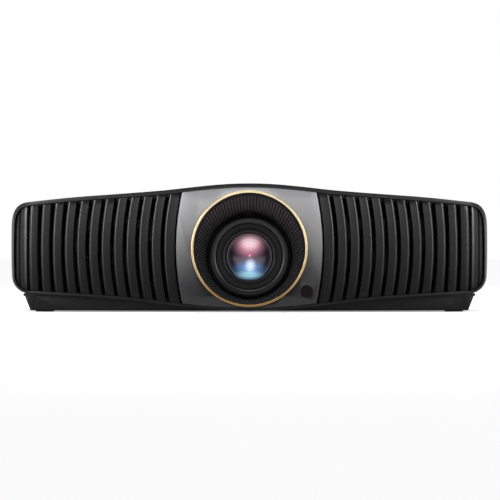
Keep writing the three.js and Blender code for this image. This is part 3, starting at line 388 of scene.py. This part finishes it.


# the lighter edges of the case and the louvres are partly wear, partly a painted highlight
casePlastic = finish("casePlastic", (0.0048, 0.0049, 0.0053), 0.4, scale=2200, bump=0.12, edgeWearAndHighlight=0.5,
                     edgeWearAndHighlightColour=(0.03, 0.03, 0.032), sheenRamp=(0.0, 0.12, 0.04, 0.2))
louvrePlastic = finish("louvrePlastic", (0.0062, 0.0063, 0.0066), 0.26, scale=2200, bump=0.012, edgeWearAndHighlight=0.12,
                       edgeWearAndHighlightColour=(0.05, 0.05, 0.052), sheenRamp=(0.02, 0.12, 0.03, 0.4))
# the gunmetal panel is painted lighter at the top and darker at the bottom: painted light and shade
gunmetalPaint = finish("gunmetalPaint", (0.3, 0.3, 0.31), 0.36, metallic=0.55, scale=5200, depth=0.8,
                       patch=0.05, bump=0.04, paintedLightRamp=(0.02, 0.14, (0.012, 0.012, 0.013), (0.3, 0.3, 0.305)))
# the gold ring is painted pale above and dark brown below: painted light and shade
goldPlate = finish("goldPlate", (0.8, 0.6, 0.32), 0.34, metallic=0.8, scale=900, depth=0.2,
                   patch=0.04, bump=0.0,
                   paintedLightRamp=(0.004, 0.125, (0.22, 0.13, 0.05), (0.7, 0.58, 0.36)))
hoodPlastic = finish("hoodPlastic", (0.004, 0.004, 0.0042), 0.4, scale=2600, bump=0.05, patch=0.1,
                     specular=0.2)
# the rib crowns' finish: painted lighter than the hood, as a highlight
ribCrownPaintedHighlight = finish("ribCrownPaintedHighlight", (0.016, 0.016, 0.0165), 0.36, scale=2600, bump=0.05, patch=0.1,
                    specular=0.5)
lensPlastic = finish("lensPlastic", (0.006, 0.006, 0.0065), 0.4, scale=2600, bump=0.05, patch=0.08,
                     specular=0.25)
barrelPaint = finish("barrelPaint", (0.004, 0.004, 0.0045), 0.34, scale=1800, bump=0.04, patch=0.1,
                     specular=0.22)
keyPlastic = finish("keyPlastic", (0.035, 0.035, 0.037), 0.4, scale=2400, bump=0.08, edgeWearAndHighlight=0.4)
socketPlastic = finish("socketPlastic", (0.008, 0.008, 0.0085), 0.5, scale=1900, bump=0.1)
plateSteel = finish("plateSteel", (0.56, 0.56, 0.57), 0.3, metallic=1.0, scale=700, bump=0.05, patch=0.12)
castAluminium = finish("castAluminium", (0.5, 0.51, 0.52), 0.45, metallic=1.0, scale=420, bump=0.3,
                       patch=0.25)
blackAnodised = finish("blackAnodised", (0.012, 0.012, 0.013), 0.5, metallic=0.6, scale=900,
                       bump=0.08, patch=0.2)
boardLacquer = finish("boardLacquer", (0.015, 0.09, 0.035), 0.35, scale=260, bump=0.05, patch=0.3, coat=0.3)
footRubber = finish("footRubber", (0.008, 0.008, 0.008), 0.85, scale=1400, bump=0.25, patch=0.2,
                    specular=0.25)
windowTint = finish("windowTint", (0.0025, 0.001, 0.0015), 0.3, scale=300, bump=0.0, patch=0.05,
                    specular=0.1)
whiteInk = finish("whiteInk", (0.5, 0.5, 0.5), 0.6, scale=2600, bump=0.05, patch=0.05)
print("materials ready")


# Turned pieces: a ring of points is extruded and resized along the lens axis
def lathe(name, steps, centre, segments=96, ends="bridge"):
    # steps are (radius, y) or (radius, y, drop) in millimetres behind the front edge
    steps = [(*step, 0)[:3] for step in steps]
    front = cadBox[0][1]
    radius, depth, drop = steps[0]
    deselectAll()
    bpy.ops.mesh.primitive_circle_add(
        vertices=segments, radius=radius * mm, fill_type="NOTHING",
        location=(centre[0], front + depth * mm, centre[1] - drop * mm), rotation=(math.pi / 2, 0, 0))
    piece = bpy.context.object
    piece.name = piece.data.name = name
    applied(piece)
    editMode(piece, "EDGE")
    bpy.ops.mesh.select_all(action="SELECT")
    for nextRadius, nextDepth, nextDrop in steps[1:]:
        move = (0, (nextDepth - depth) * mm, (drop - nextDrop) * mm)
        bpy.ops.mesh.extrude_region_move(TRANSFORM_OT_translate={"value": move})
        pivot = (centre[0], front + nextDepth * mm, centre[1] - nextDrop * mm)
        if nextRadius == 0:
            bpy.ops.mesh.merge(type="CENTER")
        elif nextRadius != radius:
            scale = nextRadius / radius
            bpy.ops.transform.resize(value=(scale, 1, scale), center_override=pivot)
        radius, depth, drop = nextRadius or radius, nextDepth, nextDrop
    bpy.ops.mesh.select_all(action="DESELECT")
    bpy.ops.mesh.select_non_manifold()
    if ends == "bridge":
        bpy.ops.mesh.bridge_edge_loops()
    else:
        bpy.ops.mesh.edge_face_add()
    facesOutward()
    objectMode()
    return piece


ringMiddle = (0.0, middleOf("trim_ring").z)
lensMiddle = (0.0, middleOf("focus_ring").z)
ringOuter = (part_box("trim_ring")[1][0]) / mm
ringInner = ringOuter - 2.6


def makeTrimRing():
    trim = {"round": 0.9, "depth": 8.0}
    steps = [(ringInner, trim["depth"]), (ringInner, trim["round"]), (ringInner + 0.25, 0.3),
             (ringInner + trim["round"], 0.0), (ringOuter - trim["round"], 0.0),
             (ringOuter - 0.25, 0.3), (ringOuter, trim["round"]), (ringOuter, trim["depth"])]
    ring = lathe("trimRing", steps, ringMiddle, 128)
    smooth(ring, 60)
    handOver(ring, "case", "gold", goldPlate, "trim_ring")


def makeHood():
    hood = {"ribs": 96, "ribRise": 1.1, "setback": 1.2, "mouthDepth": 34.0, "mouth": 44.6, "wall": 2.2,
            "lip": 1.2, "ribGap": 3.6}
    drop = (ringMiddle[1] - lensMiddle[1]) / mm
    rim = ringInner - 0.3
    span = hood["mouthDepth"] - hood["setback"]
    frontEdge = cadBox[0][1]

    def flare(depth):
        share = (depth - hood["setback"]) / span
        return rim - hood["lip"] + (hood["mouth"] - rim + hood["lip"]) * share, depth, drop * share

    def onFunnel(face):
        # depth, distance in front of the funnel's wall, and angle round the lens axis
        place = face.calc_center_median()
        depth = (place.y - frontEdge) / mm
        radius, level, sink = flare(depth)
        across, up = place.x, place.z - ringMiddle[1] + sink * mm
        return level, radius - math.hypot(across, up) / mm, math.atan2(up, across)

    # the ribs stop short of the focus ring, which both lens shifts together bring close
    ribStart, ribEnd = hood["setback"] + 1.0, hood["mouthDepth"] - hood["ribGap"]
    steps = [(hood["mouth"] + hood["wall"], hood["mouthDepth"], drop), (rim, hood["setback"] + 0.4, 0),
             (rim - 0.4, hood["setback"], 0), flare(hood["setback"]), flare(ribStart), flare(ribEnd),
             (hood["mouth"], hood["mouthDepth"], drop)]
    funnel = lathe("lensHood", steps, ringMiddle, hood["ribs"] * 2)
    editMode(funnel, "FACE")
    step = math.pi / hood["ribs"]

    def onRib(face):
        depth, rise, angle = onFunnel(face)
        column = int(math.floor((angle + math.pi) / step + 1e-6))
        return abs(rise) < 0.5 and ribStart + 2 < depth < ribEnd - 2 and column % 2 == 0

    def isCrown(face):
        depth, rise, angle = onFunnel(face)
        return ribStart + 2 < depth < ribEnd - 2 and 0.55 < rise < 1.4

    pick(funnel, "faces", onRib)
    bpy.ops.mesh.inset(thickness=0.12 * mm, use_individual=True)
    raised(hood["ribRise"])
    objectMode()
    smooth(funnel, 25)
    handOver(funnel, "case", "inner_black", hoodPlastic, "lens_hood")
    # the ribs' crowns are a touch glossier than the funnel between them, and painted lighter as a highlight
    funnel.data.materials.append(ribCrownPaintedHighlight)
    editMode(funnel, "FACE")
    pick(funnel, "faces", isCrown)
    funnel.active_material_index = 1
    bpy.ops.object.material_slot_assign()
    objectMode()


def makeLens():
    focus = [(34.2, 50), (34.2, 32.6), (34.6, 32.0), (35.6, 31.6), (36.2, 31.2), (38.6, 31.0), (39.8, 31.2),
             (40.4, 32.0), (40.4, 50)]
    ring = lathe("focusRing", focus, lensMiddle, 128)
    smooth(ring, 40)
    handOver(ring, "focus", "inner_black", lensPlastic, "focus_ring")
    back = [(42.0, 68.4), (42.0, 64.4), (33.9, 64.4), (33.9, 36.6), (33.3, 36.0), (31.6, 36.0),
            (31.4, 36.5), (30.2, 36.5), (30.0, 37.0), (28.9, 37.0), (28.3, 37.6), (28.3, 44.5),
            (26.4, 44.5), (26.4, 48.1), (20.4, 48.1), (20.4, 112.0), (31.0, 112.0), (31.0, 68.4)]
    barrel = lathe("lensBarrel", back, lensMiddle, 128)
    smooth(barrel, 40)
    handOver(barrel, "lens_unit", "inner_black", barrelPaint, "lens_barrel")
    keeper = [(28.0, 44.2), (28.0, 37.6), (27.6, 37.2), (26.9, 37.2), (26.6, 38.0), (26.0, 38.2),
              (25.7, 39.4), (25.2, 39.6), (24.9, 41.2), (25.5, 44.2)]
    retainer = lathe("retainingRing", keeper, lensMiddle, 128)
    smooth(retainer, 40)
    handOver(retainer, "lens_unit", "inner_black", lensPlastic, "lens_retaining_ring")


makeTrimRing()
makeHood()
makeLens()
print("ring, hood and lens ready")


# Louvres: one blade is modelled, then copied along the bowed front and leaned row by row
front = {"radius": 620.0, "corner": 38.0, "width": 493.2}
louvre = {
    "panelHalf": 74.98, "panelGroove": 2.0, "groove": 3.6, "pitch": 13.25, "count": 14, "face": 1.3,
    "twist": 1.5, "round": 3.4, "depth": 8.0, "rows": 18, "lean": 7.4, "leanFade": 70.0, "play": 0.3,
    "sideGap": 3.8,
}
halfWidth = front["width"] / 2
bowCentre = cadBox[0][1] / mm + front["radius"]
cornerX = halfWidth - front["corner"]
cornerReach = front["radius"] - front["corner"]
cornerY = bowCentre - math.sqrt(cornerReach ** 2 - cornerX ** 2)
cornerAngle = math.asin(cornerX / cornerReach)


def onFront(along, depth=0.0):
    # a place on the case's skin this far round from the middle, and the way it faces
    bowLength = front["radius"] * cornerAngle
    if along <= bowLength:
        angle, radius, centre = along / front["radius"], front["radius"], (0, bowCentre)
    else:
        angle = cornerAngle + (along - bowLength) / front["corner"]
        radius, centre = front["corner"], (cornerX, cornerY)
    reach = radius - depth
    return (centre[0] + reach * math.sin(angle)) * mm, (centre[1] - reach * math.cos(angle)) * mm, angle


def frontAt(x):
    # the skin straight ahead of a place x, in metres
    far = abs(x) / mm
    if far <= front["radius"] * math.sin(cornerAngle):
        return (bowCentre - math.sqrt(front["radius"] ** 2 - far ** 2)) * mm
    reach = min(far - cornerX, front["corner"])
    return (cornerY - math.sqrt(front["corner"] ** 2 - reach ** 2)) * mm


frameTree = treeOf("front_frame")
openMiddle = middleOf("trim_ring").z + 0.9 * mm


def openingAt(x, y, way):
    # the edge of the frame's opening above (way 1) or below (way -1)
    hit = frameTree.ray_cast(Vector((x, y, openMiddle)), Vector((0, 0, way)))[0]
    return hit.z - way * louvre["play"] * mm if hit else None


def makeBlade(width):
    low, high = cadBox[0][2], cadBox[1][2]
    deselectAll()
    bpy.ops.mesh.primitive_plane_add(size=1, location=(0, 0, low))
    blade = bpy.context.object
    bpy.ops.transform.resize(value=(width * mm, louvre["depth"] * mm, 1))
    applied(blade)
    editMode(blade)
    # the inner front corner sits deeper, and the outer one is rounded
    pick(blade, "verts", lambda vertex: vertex.co.x < 0 and vertex.co.y < 0)
    bpy.ops.transform.translate(value=(0, louvre["twist"] * mm, 0))
    bpy.ops.mesh.bevel(offset=0.8 * mm, segments=2, affect="VERTICES")
    pick(blade, "verts", lambda vertex: vertex.co.x > width * 0.49 * mm and vertex.co.y < 0)
    bpy.ops.mesh.bevel(offset=louvre["round"] * mm, segments=6, affect="VERTICES")
    bpy.ops.mesh.select_all(action="SELECT")
    for row in range(louvre["rows"]):
        bpy.ops.mesh.extrude_region_move(
            TRANSFORM_OT_translate={"value": (0, 0, (high - low) / louvre["rows"])})
    facesOutward()
    objectMode()
    return blade


def leanOf(edge):
    # how far a blade with this inner edge leans, less near the case's side
    room = halfWidth - louvre["sideGap"] - edge / mm
    return louvre["lean"] * mm * min(max(room / louvre["leanFade"], 0), 1)


def leanRows(piece, edge):
    # every row moves towards the lens, most at the top and bottom
    low, high = cadBox[0][2], cadBox[1][2]
    half = openMiddle - 4.1 * mm
    strength = leanOf(edge)
    for row in range(louvre["rows"] + 1):
        level = low + (high - low) * row / louvre["rows"]
        lean = strength * ((level - openMiddle) / half) ** 2
        if lean < 1e-6:
            continue
        pick(piece, "verts", lambda vertex: abs(vertex.co.z - level) < 0.1 * mm)
        back = frontAt(edge - lean) - frontAt(edge)
        bpy.ops.transform.translate(value=(-lean, back, 0))


def trimEnds(piece, edge, outer, depth):
    strength = leanOf(edge)
    for way in (1, -1):
        near, far = edge - strength, outer - strength
        first, last = openingAt(near, depth, way), openingAt(far, depth, way)
        if first is None or last is None:
            continue
        slope = (last - first) / (far - near)
        bpy.ops.mesh.select_all(action="SELECT")
        bpy.ops.mesh.bisect(
            plane_co=(near, depth, first), plane_no=(-slope * way, 0, way), use_fill=True, clear_outer=True)


def makeRail(way, depth):
    # a strip behind the blades' ends
    places = []
    start = louvre["panelHalf"] + louvre["panelGroove"] + 2
    for step in range(louvre["count"]):
        x, y, angle = onFront(start + step * (louvre["pitch"] - 0.4), depth)
        edge = openingAt(x, y, way)
        if edge is not None:
            places.append(Vector((x, y, edge - way * 1.6 * mm)))
    deselectAll()
    bpy.ops.mesh.primitive_plane_add(size=1, location=places[0], rotation=(0, math.pi / 2, 0))
    rail = bpy.context.object
    bpy.ops.transform.resize(value=(1, 3 * mm, 3 * mm))
    applied(rail)
    editMode(rail)
    bpy.ops.mesh.select_all(action="SELECT")
    for before, after in zip(places, places[1:]):
        bpy.ops.mesh.extrude_region_move(TRANSFORM_OT_translate={"value": tuple(after - before)})
    facesOutward()
    objectMode()
    return rail


def makeLouvres():
    first = makeBlade(louvre["pitch"] - louvre["panelGroove"])
    blade = makeBlade(louvre["pitch"] - louvre["groove"])
    pieces = []
    for step in range(louvre["count"]):
        width = louvre["pitch"] - (louvre["groove"] if step else louvre["panelGroove"])
        inner = louvre["panelHalf"] + (step + 1) * louvre["pitch"] - width
        x, y, angle = onFront(inner + width / 2, louvre["face"] + louvre["depth"] / 2)
        source = blade if step else first
        copy = copied(source)
        copy.location = (x, y, 0)
        copy.rotation_euler = (0, 0, angle)
        applied(copy)
        edge, outer = onFront(inner)[0], onFront(inner + width)[0]
        editMode(copy)
        leanRows(copy, edge)
        trimEnds(copy, edge, min(outer, (halfWidth - 4.4) * mm), y)
        # the last blade is cut off at the opening's side
        bpy.ops.mesh.select_all(action="SELECT")
        bpy.ops.mesh.bisect(plane_co=((halfWidth - 5.2) * mm, 0, 0), plane_no=(1, 0, 0),
                            use_fill=True, clear_outer=True)
        objectMode()
        pieces.append(copy)
    bpy.data.objects.remove(blade)
    bpy.data.objects.remove(first)
    bank = joined("louvreRight", pieces)
    rounded(bank, 0.35, 2, 45)
    rails = [makeRail(way, louvre["face"] + louvre["depth"] + 1.5) for way in (1, -1)]
    bank = joined("louvreRight", [bank, *rails])
    smooth(bank, 36)
    twin = copied(bank)
    twin.name = twin.data.name = "louvreLeft"
    editMode(twin)
    bpy.ops.mesh.select_all(action="SELECT")
    bpy.ops.transform.resize(value=(-1, 1, 1), center_override=(0, 0, 0))
    bpy.ops.mesh.flip_normals()
    objectMode()
    handOver(bank, "case", "louvre_black", louvrePlastic, "louvre_right")
    handOver(twin, "case", "louvre_black", louvrePlastic, "louvre_left")


makeLouvres()
print("louvres ready")


# Front glass: a deep meniscus with painted reflections, pink above and blue below
glass = {"radius": 26.1, "apex": 36.3, "edge": 44.8, "back": 47.4, "steps": 18}


def glassWithPaintedReflections():
    material = bpy.data.materials.new("glassWithPaintedReflections")
    material.use_nodes = True
    tree = material.node_tree
    shader = tree.nodes["Principled BSDF"]
    place = addNode(tree, "TexCoord").outputs["Object"]
    centred = addNode(tree, "Mapping", {"Vector": place})
    centred.inputs["Location"].default_value = (0, 0, -lensMiddle[1])
    flat = addNode(tree, "VectorMath", {0: centred.outputs[0], 1: (1, 0, 1)}, operation="MULTIPLY")
    radius = addNode(tree, "VectorMath", {0: flat.outputs[0]}, operation="LENGTH").outputs["Value"]

    def blob(x, z, width, height):
        shift = addNode(tree, "VectorMath", {
            0: flat.outputs[0], 1: (x * mm, 0, z * mm)}, operation="SUBTRACT")
        squash = addNode(tree, "VectorMath", {
            0: shift.outputs[0], 1: (1 / (width * mm), 1, 1 / (height * mm))}, operation="MULTIPLY")
        glow = addNode(tree, "TexGradient", {"Vector": squash.outputs[0]}, gradient_type="SPHERICAL")
        soft = addNode(tree, "MapRange", {"Value": glow.outputs["Fac"]})
        soft.interpolation_type = "SMOOTHERSTEP"
        return soft.outputs[0]

    def laid(under, glow, colour, strength=1.0):
        share = addNode(tree, "Math", {0: glow, 1: strength}, operation="MULTIPLY")
        layer = addNode(tree, "Mix", {"Factor": share.outputs[0], 6: under}, data_type="RGBA")
        layer.inputs[7].default_value = (*colour, 1)
        return layer.outputs[2]

    # painted reflections: faint circles standing for the elements behind
    turns = addNode(tree, "Math", {0: radius, 1: 1900.0}, operation="MULTIPLY")
    wave = addNode(tree, "Math", {0: turns.outputs[0]}, operation="SINE")
    ripple = addNode(tree, "MapRange", {"Value": wave.outputs[0], "From Min": -1.0, "To Min": 0.84})
    dark = addNode(tree, "RGB")
    dark.outputs[0].default_value = (0.008, 0.005, 0.009, 1)
    # painted reflections: a faint purple sheen in the middle, pink highlights above, blue ones below and a
    # small pink glint near the centre
    colour = laid(dark.outputs[0], blob(0, 0, 22, 22), (0.09, 0.035, 0.08), 0.8)
    colour = laid(colour, blob(0, 11.5, 22, 16), (0.62, 0.27, 0.35))
    colour = laid(colour, blob(0.5, 14, 15, 10), (1.0, 0.74, 0.8), 0.9)
    colour = laid(colour, blob(0, -14, 23, 14), (0.1, 0.25, 0.55))
    colour = laid(colour, blob(0, -19, 19, 7), (0.4, 0.75, 0.92), 0.9)
    colour = laid(colour, blob(1, -10, 8, 11), (0.72, 0.84, 0.98), 0.75)
    colour = laid(colour, blob(0.5, 1, 2.4, 2.2), (0.9, 0.2, 0.35))
    # painted reflections: two pale rings
    for middle, width, strength in ((22.6, 0.5, 0.55), (20.9, 0.3, 0.25)):
        away = addNode(tree, "Math", {0: radius, 1: middle * mm}, operation="SUBTRACT")
        band = addNode(tree, "Math", {0: away.outputs[0]}, operation="ABSOLUTE")
        rim = addNode(tree, "MapRange", {
            "Value": band.outputs[0], "From Max": width * mm, "To Min": 1.0, "To Max": 0.0})
        colour = laid(colour, rim.outputs[0], (0.4, 0.4, 0.44), strength)
    rippled = addNode(tree, "VectorMath", {0: colour, 1: ripple.outputs[0]}, operation="MULTIPLY")
    tree.links.new(ripple.outputs[0], rippled.inputs[1])
    tree.links.new(rippled.outputs[0], shader.inputs["Base Color"])
    # the painted reflections also glow faintly, though the glass is no lamp
    tree.links.new(rippled.outputs[0], shader.inputs["Emission Color"])
    shader.inputs["Emission Strength"].default_value = 0.45
    shader.inputs["Roughness"].default_value = 0.3
    shader.inputs["IOR"].default_value = 1.5
    shader.inputs["Coat Weight"].default_value = 0.25
    shader.inputs["Coat Roughness"].default_value = 0.03
    return material


def makeGlass():
    bulge = glass["edge"] - glass["apex"]
    sphere = (glass["radius"] ** 2 + bulge ** 2) / (2 * bulge)
    steps = [(glass["radius"] - 0.3, glass["back"]), (glass["radius"], glass["back"] - 0.3),
             (glass["radius"], glass["edge"])]
    for step in range(1, glass["steps"]):
        radius = glass["radius"] * (1 - step / glass["steps"])
        steps.append((radius, glass["apex"] + sphere - math.sqrt(sphere ** 2 - radius ** 2)))
    element = lathe("frontGlass", steps, lensMiddle, 96, ends="fill")
    smooth(element, 40)
    handOver(element, "lens_unit", "lens_glass", glassWithPaintedReflections(), "front_lens_element")


makeGlass()
print("glass ready")


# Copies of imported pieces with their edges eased
def eased(node, name, body, slot, material, radius=0.5, segments=2, angle=32):
    piece = copied(nodes[node])
    piece.name = piece.data.name = name
    for key in list(piece.keys()):
        del piece[key]
    piece.parent = None
    editMode(piece)
    bpy.ops.mesh.select_all(action="SELECT")
    bpy.ops.mesh.remove_doubles(threshold=0.00001)
    bpy.ops.mesh.dissolve_limited(angle_limit=math.radians(0.15))
    objectMode()
    rounded(piece, radius, segments, angle)
    smooth(piece, 34)
    handOver(piece, body, slot, material, node)
    return piece


easedPieces = [
    ("front_frame", "frontFrame", "case", "case_black", casePlastic, 0.9),
    ("top_cover", "topCover", "case", "case_black", casePlastic, 0.4),
    ("bottom_tray", "bottomTray", "case", "case_black", casePlastic, 0.6),
    ("rear_panel", "rearPanel", "case", "case_black", casePlastic, 0.3),
    ("shift_door", "shiftDoor", "door", "case_black", casePlastic, 0.35),
    ("lens_panel", "lensPanel", "case", "gunmetal", gunmetalPaint, 0.6),
    ("control_panel", "controlPanel", "case", "socket_black", socketPlastic, 0.4),
]


def easeAll():
    for node, name, body, slot, material, radius in easedPieces:
        eased(node, name, body, slot, material, radius)


easeAll()
print("case pieces eased")


# Feet: rubber pads with a rolled edge and a ring of grip notches
def makeFoot(corner):
    foot = {"round": 1.1, "notches": 24, "notchDeep": 0.7}
    pad = "foot_pad_" + corner
    low, high = cornersOf(pad)
    centre, radius = (low + high) / 2, (high.x - low.x) / 2
    deselectAll()
    bpy.ops.mesh.primitive_cylinder_add(
        vertices=foot["notches"] * 4, radius=radius, depth=high.z - low.z, location=centre)
    piece = bpy.context.object
    piece.name = piece.data.name = "footPad" + corner.title().replace("_", "")
    applied(piece)
    editMode(piece, "FACE")

    def onNotch(face):
        place = face.calc_center_median() - centre
        column = int((math.atan2(place.y, place.x) + math.pi) / (2 * math.pi) * foot["notches"] * 4)
        return abs(face.normal.z) < 0.5 and column % 4 == 0

    pick(piece, "faces", onNotch)
    bpy.ops.mesh.inset(thickness=0.15 * mm, use_individual=True)
    raised(-foot["notchDeep"])
    pick(piece, "faces", lambda face: abs(face.normal.z) > 0.9 and face.calc_area() > radius * radius)
    bpy.ops.mesh.inset(thickness=foot["round"] * mm)
    bpy.ops.mesh.inset(thickness=2 * mm)
    raised(-0.6)
    objectMode()
    rounded(piece, 0.3, 2, 50)
    smooth(piece, 35)
    handOver(piece, "foot_" + corner, "foot_rubber", footRubber, pad)


for corner in ("front_left", "front_right", "rear_left", "rear_right"):
    makeFoot(corner)
print("feet ready")


# Keys and shift knobs: eased copies, with generic marks in white ink
panelUp = Vector((0.07495, 0, 0.99719))
panelSide = Vector((panelUp.z, 0, -panelUp.x))
panelSlope = math.atan2(panelUp.x, panelUp.z)
panelCentre = middleOf("control_panel")
keyFaces = [
    ("power_key", "powerKey", "power"), ("source_key", "sourceKey", "source"),
    ("menu_key", "menuKey", "menu"), ("back_key", "backKey", "back"),
    ("direction_pad", "directionPad", "direction"), ("confirm_key", "confirmKey", "confirm"),
    ("shift_knob_upright", "shiftKnobUpright", "knob_upright"),
    ("shift_knob_sideways", "shiftKnobSideways", "knob_sideways"),
]


def makeKeys():
    for node, name, body in keyFaces:
        eased(node, name, body, "key_grey", keyPlastic, 0.45, 3)


def mark(name, body, node, shapes):
    # shapes are (kind, x, y, size, turn) on the top face of a key
    line = {"ring": 0.22, "bar": 0.45, "thick": 0.3, "sunk": 0.1}
    low, high = cornersOf(node)
    centre = (low + high) / 2
    parts = []
    for kind, x, y, size, turn in shapes:
        deselectAll()
        if kind == "ring":
            bpy.ops.mesh.primitive_torus_add(
                major_radius=size * mm, minor_radius=line["ring"] * mm, major_segments=32, minor_segments=8)
        elif kind == "arrow":
            bpy.ops.mesh.primitive_cone_add(
                vertices=3, radius1=size * mm, radius2=size * 0.8 * mm, depth=line["thick"] * mm)
        else:
            bpy.ops.mesh.primitive_cube_add(size=1)
            bpy.ops.transform.resize(value=(size * mm, line["bar"] * mm, line["thick"] * mm))
        part = bpy.context.object
        for turned, moved in (((0, 0, math.radians(turn)), (0, 0, 0)), ((0, 0, 0), (x * mm, y * mm, 0)),
                              ((0, panelSlope, 0), (0, 0, 0)), ((0, 0, 0), (centre.x, centre.y, 0))):
            part.rotation_euler, part.location = turned, moved
            applied(part)
        parts.append(part)
    piece = joined(name, parts)
    # sunk so that only a hair stands above the key
    top = max(vertex.co.z for vertex in nodes[node].data.vertices)
    slopeDrop = (high.x - low.x) / 2 * math.tan(panelSlope)
    editMode(piece)
    bpy.ops.mesh.select_all(action="SELECT")
    bpy.ops.transform.translate(value=(0, 0, top - slopeDrop - line["sunk"] * mm))
    objectMode()
    smooth(piece, 40)
    handOver(piece, body, "key_grey", whiteInk)


makeKeys()
mark("powerMark", "power", "power_key", [("ring", 0, 0, 1.9, 0), ("bar", 0, 1.6, 2.2, 90)])
mark("sourceMark", "source", "source_key", [
    ("bar", 0, 0.6, 4, 0), ("arrow", 1.4, 0.6, 1.1, -90), ("bar", 0, -1.4, 4, 0)])
mark("menuMark", "menu", "menu_key", [("bar", 0, y, 3.8, 0) for y in (1.4, 0, -1.4)])
mark("backMark", "back", "back_key", [("bar", 0.6, 0, 3.4, 0), ("arrow", -1.4, 0, 1.4, 90)])
mark("directionMarks", "direction", "direction_pad", [
    ("arrow", 0, 11.5, 1.5, 0), ("arrow", 0, -11.5, 1.5, 180),
    ("arrow", 11.5, 0, 1.5, -90), ("arrow", -11.5, 0, 1.5, 90)])
mark("confirmMark", "confirm", "confirm_key", [("ring", 0, 0, 2.2, 0)])
print("keys ready")


# Rear sockets, eased, and screws around the rear panel
for node, name, slot, material, radius in (
    ("mains_socket", "mainsSocket", "socket_black", socketPlastic, 0.5),
    ("network_socket", "networkSocket", "socket_black", socketPlastic, 0.3),
    ("video_one_socket", "videoOneSocket", "steel", plateSteel, 0.25),
    ("video_two_socket", "videoTwoSocket", "steel", plateSteel, 0.25),
    ("service_socket", "serviceSocket", "steel", plateSteel, 0.25),
    ("serial_socket", "serialSocket", "steel", plateSteel, 0.3),
    ("trigger_jack", "triggerJack", "socket_black", socketPlastic, 0.3),
    ("audio_jack", "audioJack", "socket_black", socketPlastic, 0.3),
):
    eased(node, name, "case", slot, material, radius)


def makeScrews():
    screw = {"radius": 2.6, "height": 1.2, "recess": 1.3, "sunk": 0.75, "inX": 16, "inZ": 14}
    low, high = cornersOf("rear_panel")
    panelTree = treeOf("rear_panel")
    deselectAll()
    bpy.ops.mesh.primitive_cylinder_add(
        vertices=32, radius=screw["radius"] * mm, depth=screw["height"] * mm, rotation=(math.pi / 2, 0, 0))
    head = bpy.context.object
    applied(head)
    editMode(head, "FACE")
    pick(head, "faces", lambda side: side.normal.y > 0.9)
    bpy.ops.mesh.inset(thickness=screw["recess"] * mm)
    raised(-0.7)
    objectMode()
    rounded(head, 0.3, 3, 50)
    smooth(head, 35)
    heads = []
    for x in (low.x + screw["inX"] * mm, 0, high.x - screw["inX"] * mm):
        for z in (low.z + screw["inZ"] * mm, high.z - screw["inZ"] * mm):
            face = panelTree.ray_cast(Vector((x, 1, z)), Vector((0, -1, 0)))[0].y
            copy = copied(head)
            copy.location = (x, face - (screw["height"] / 2 - (screw["height"] - screw["sunk"])) * mm, z)
            applied(copy)
            heads.append(copy)
    bpy.data.objects.remove(head)
    screws = joined("rearScrews", heads)
    handOver(screws, "case", "steel", blackScrew)


blackScrew = finish("blackScrew", (0.02, 0.02, 0.021), 0.32, metallic=0.9, scale=1200, bump=0.05, patch=0.1)
makeScrews()
print("rear ready")


# A foam strip on the tray's rear wall, so that no light shows through the seam
def makeSeal():
    seal = {"half": 225, "near": 160, "far": 168, "foot": 19.0, "height": 2.2, "lip": 1.4, "lipHigh": 0.5}
    deselectAll()
    middle = (0, (seal["near"] + seal["far"]) / 2 * mm, (seal["foot"] + seal["height"] / 2) * mm)
    bpy.ops.mesh.primitive_cube_add(size=1, location=middle)
    strip = bpy.context.object
    strip.name = strip.data.name = "rearSeal"
    bpy.ops.transform.resize(
        value=(2 * seal["half"] * mm, (seal["far"] - seal["near"]) * mm, seal["height"] * mm))
    applied(strip)
    editMode(strip, "FACE")
    pick(strip, "faces", lambda side: side.normal.z > 0.9)
    bpy.ops.mesh.inset(thickness=seal["lip"] * mm)
    raised(seal["lipHigh"])
    objectMode()
    rounded(strip, 0.3, 2, 50)
    smooth(strip, 35)
    handOver(strip, "case", "foot_rubber", footRubber)


makeSeal()
print("seal ready")


# Indicator lights beside the keys
def makeLights():
    light = {"count": 3, "radius": 0.9, "flat": 0.4, "across": -22, "first": 13, "pitch": 4.4}
    lights = []
    panelTree = treeOf("control_panel")
    for step in range(light["count"]):
        deselectAll()
        bpy.ops.mesh.primitive_uv_sphere_add(segments=24, ring_count=12, radius=light["radius"] * mm)
        dot = bpy.context.object
        bpy.ops.transform.resize(value=(1, 1, light["flat"]))
        along = light["first"] - step * light["pitch"]
        place = panelCentre + panelSide * light["across"] * mm + Vector((0, along * mm, 0))
        dot.location = panelTree.ray_cast(Vector((place.x, place.y, 1)), Vector((0, 0, -1)))[0]
        applied(dot)
        lights.append(dot)
    row = joined("indicatorLights", lights)
    smooth(row, 60)
    handOver(row, "case", "dark_window", indicatorGlow)


indicatorGlow = finish("indicatorGlow", (0.05, 0.16, 0.3), 0.2, scale=500, bump=0.0, patch=0.1, coat=0.6)
makeLights()
print("lights ready")


def dressNodes():
    finishes = {
        "inner_black": barrelPaint, "dark_window": windowTint, "aluminium": castAluminium,
        "black_aluminium": blackAnodised, "steel": plateSteel, "key_grey": keyPlastic,
        "socket_black": socketPlastic, "board": boardLacquer, "foot_rubber": footRubber,
        "case_black": casePlastic,
        "louvre_black": louvrePlastic, "gunmetal": gunmetalPaint, "gold": goldPlate, "lens_glass": windowTint,
    }
    slots = {entry["node"]: entry["material_slot"] for entry in frame["record"]["subparts"]}
    for name, node in nodes.items():
        dress(node, finishes[slots[name]])
        smooth(node, 30)


dressNodes()
print("nodes dressed")
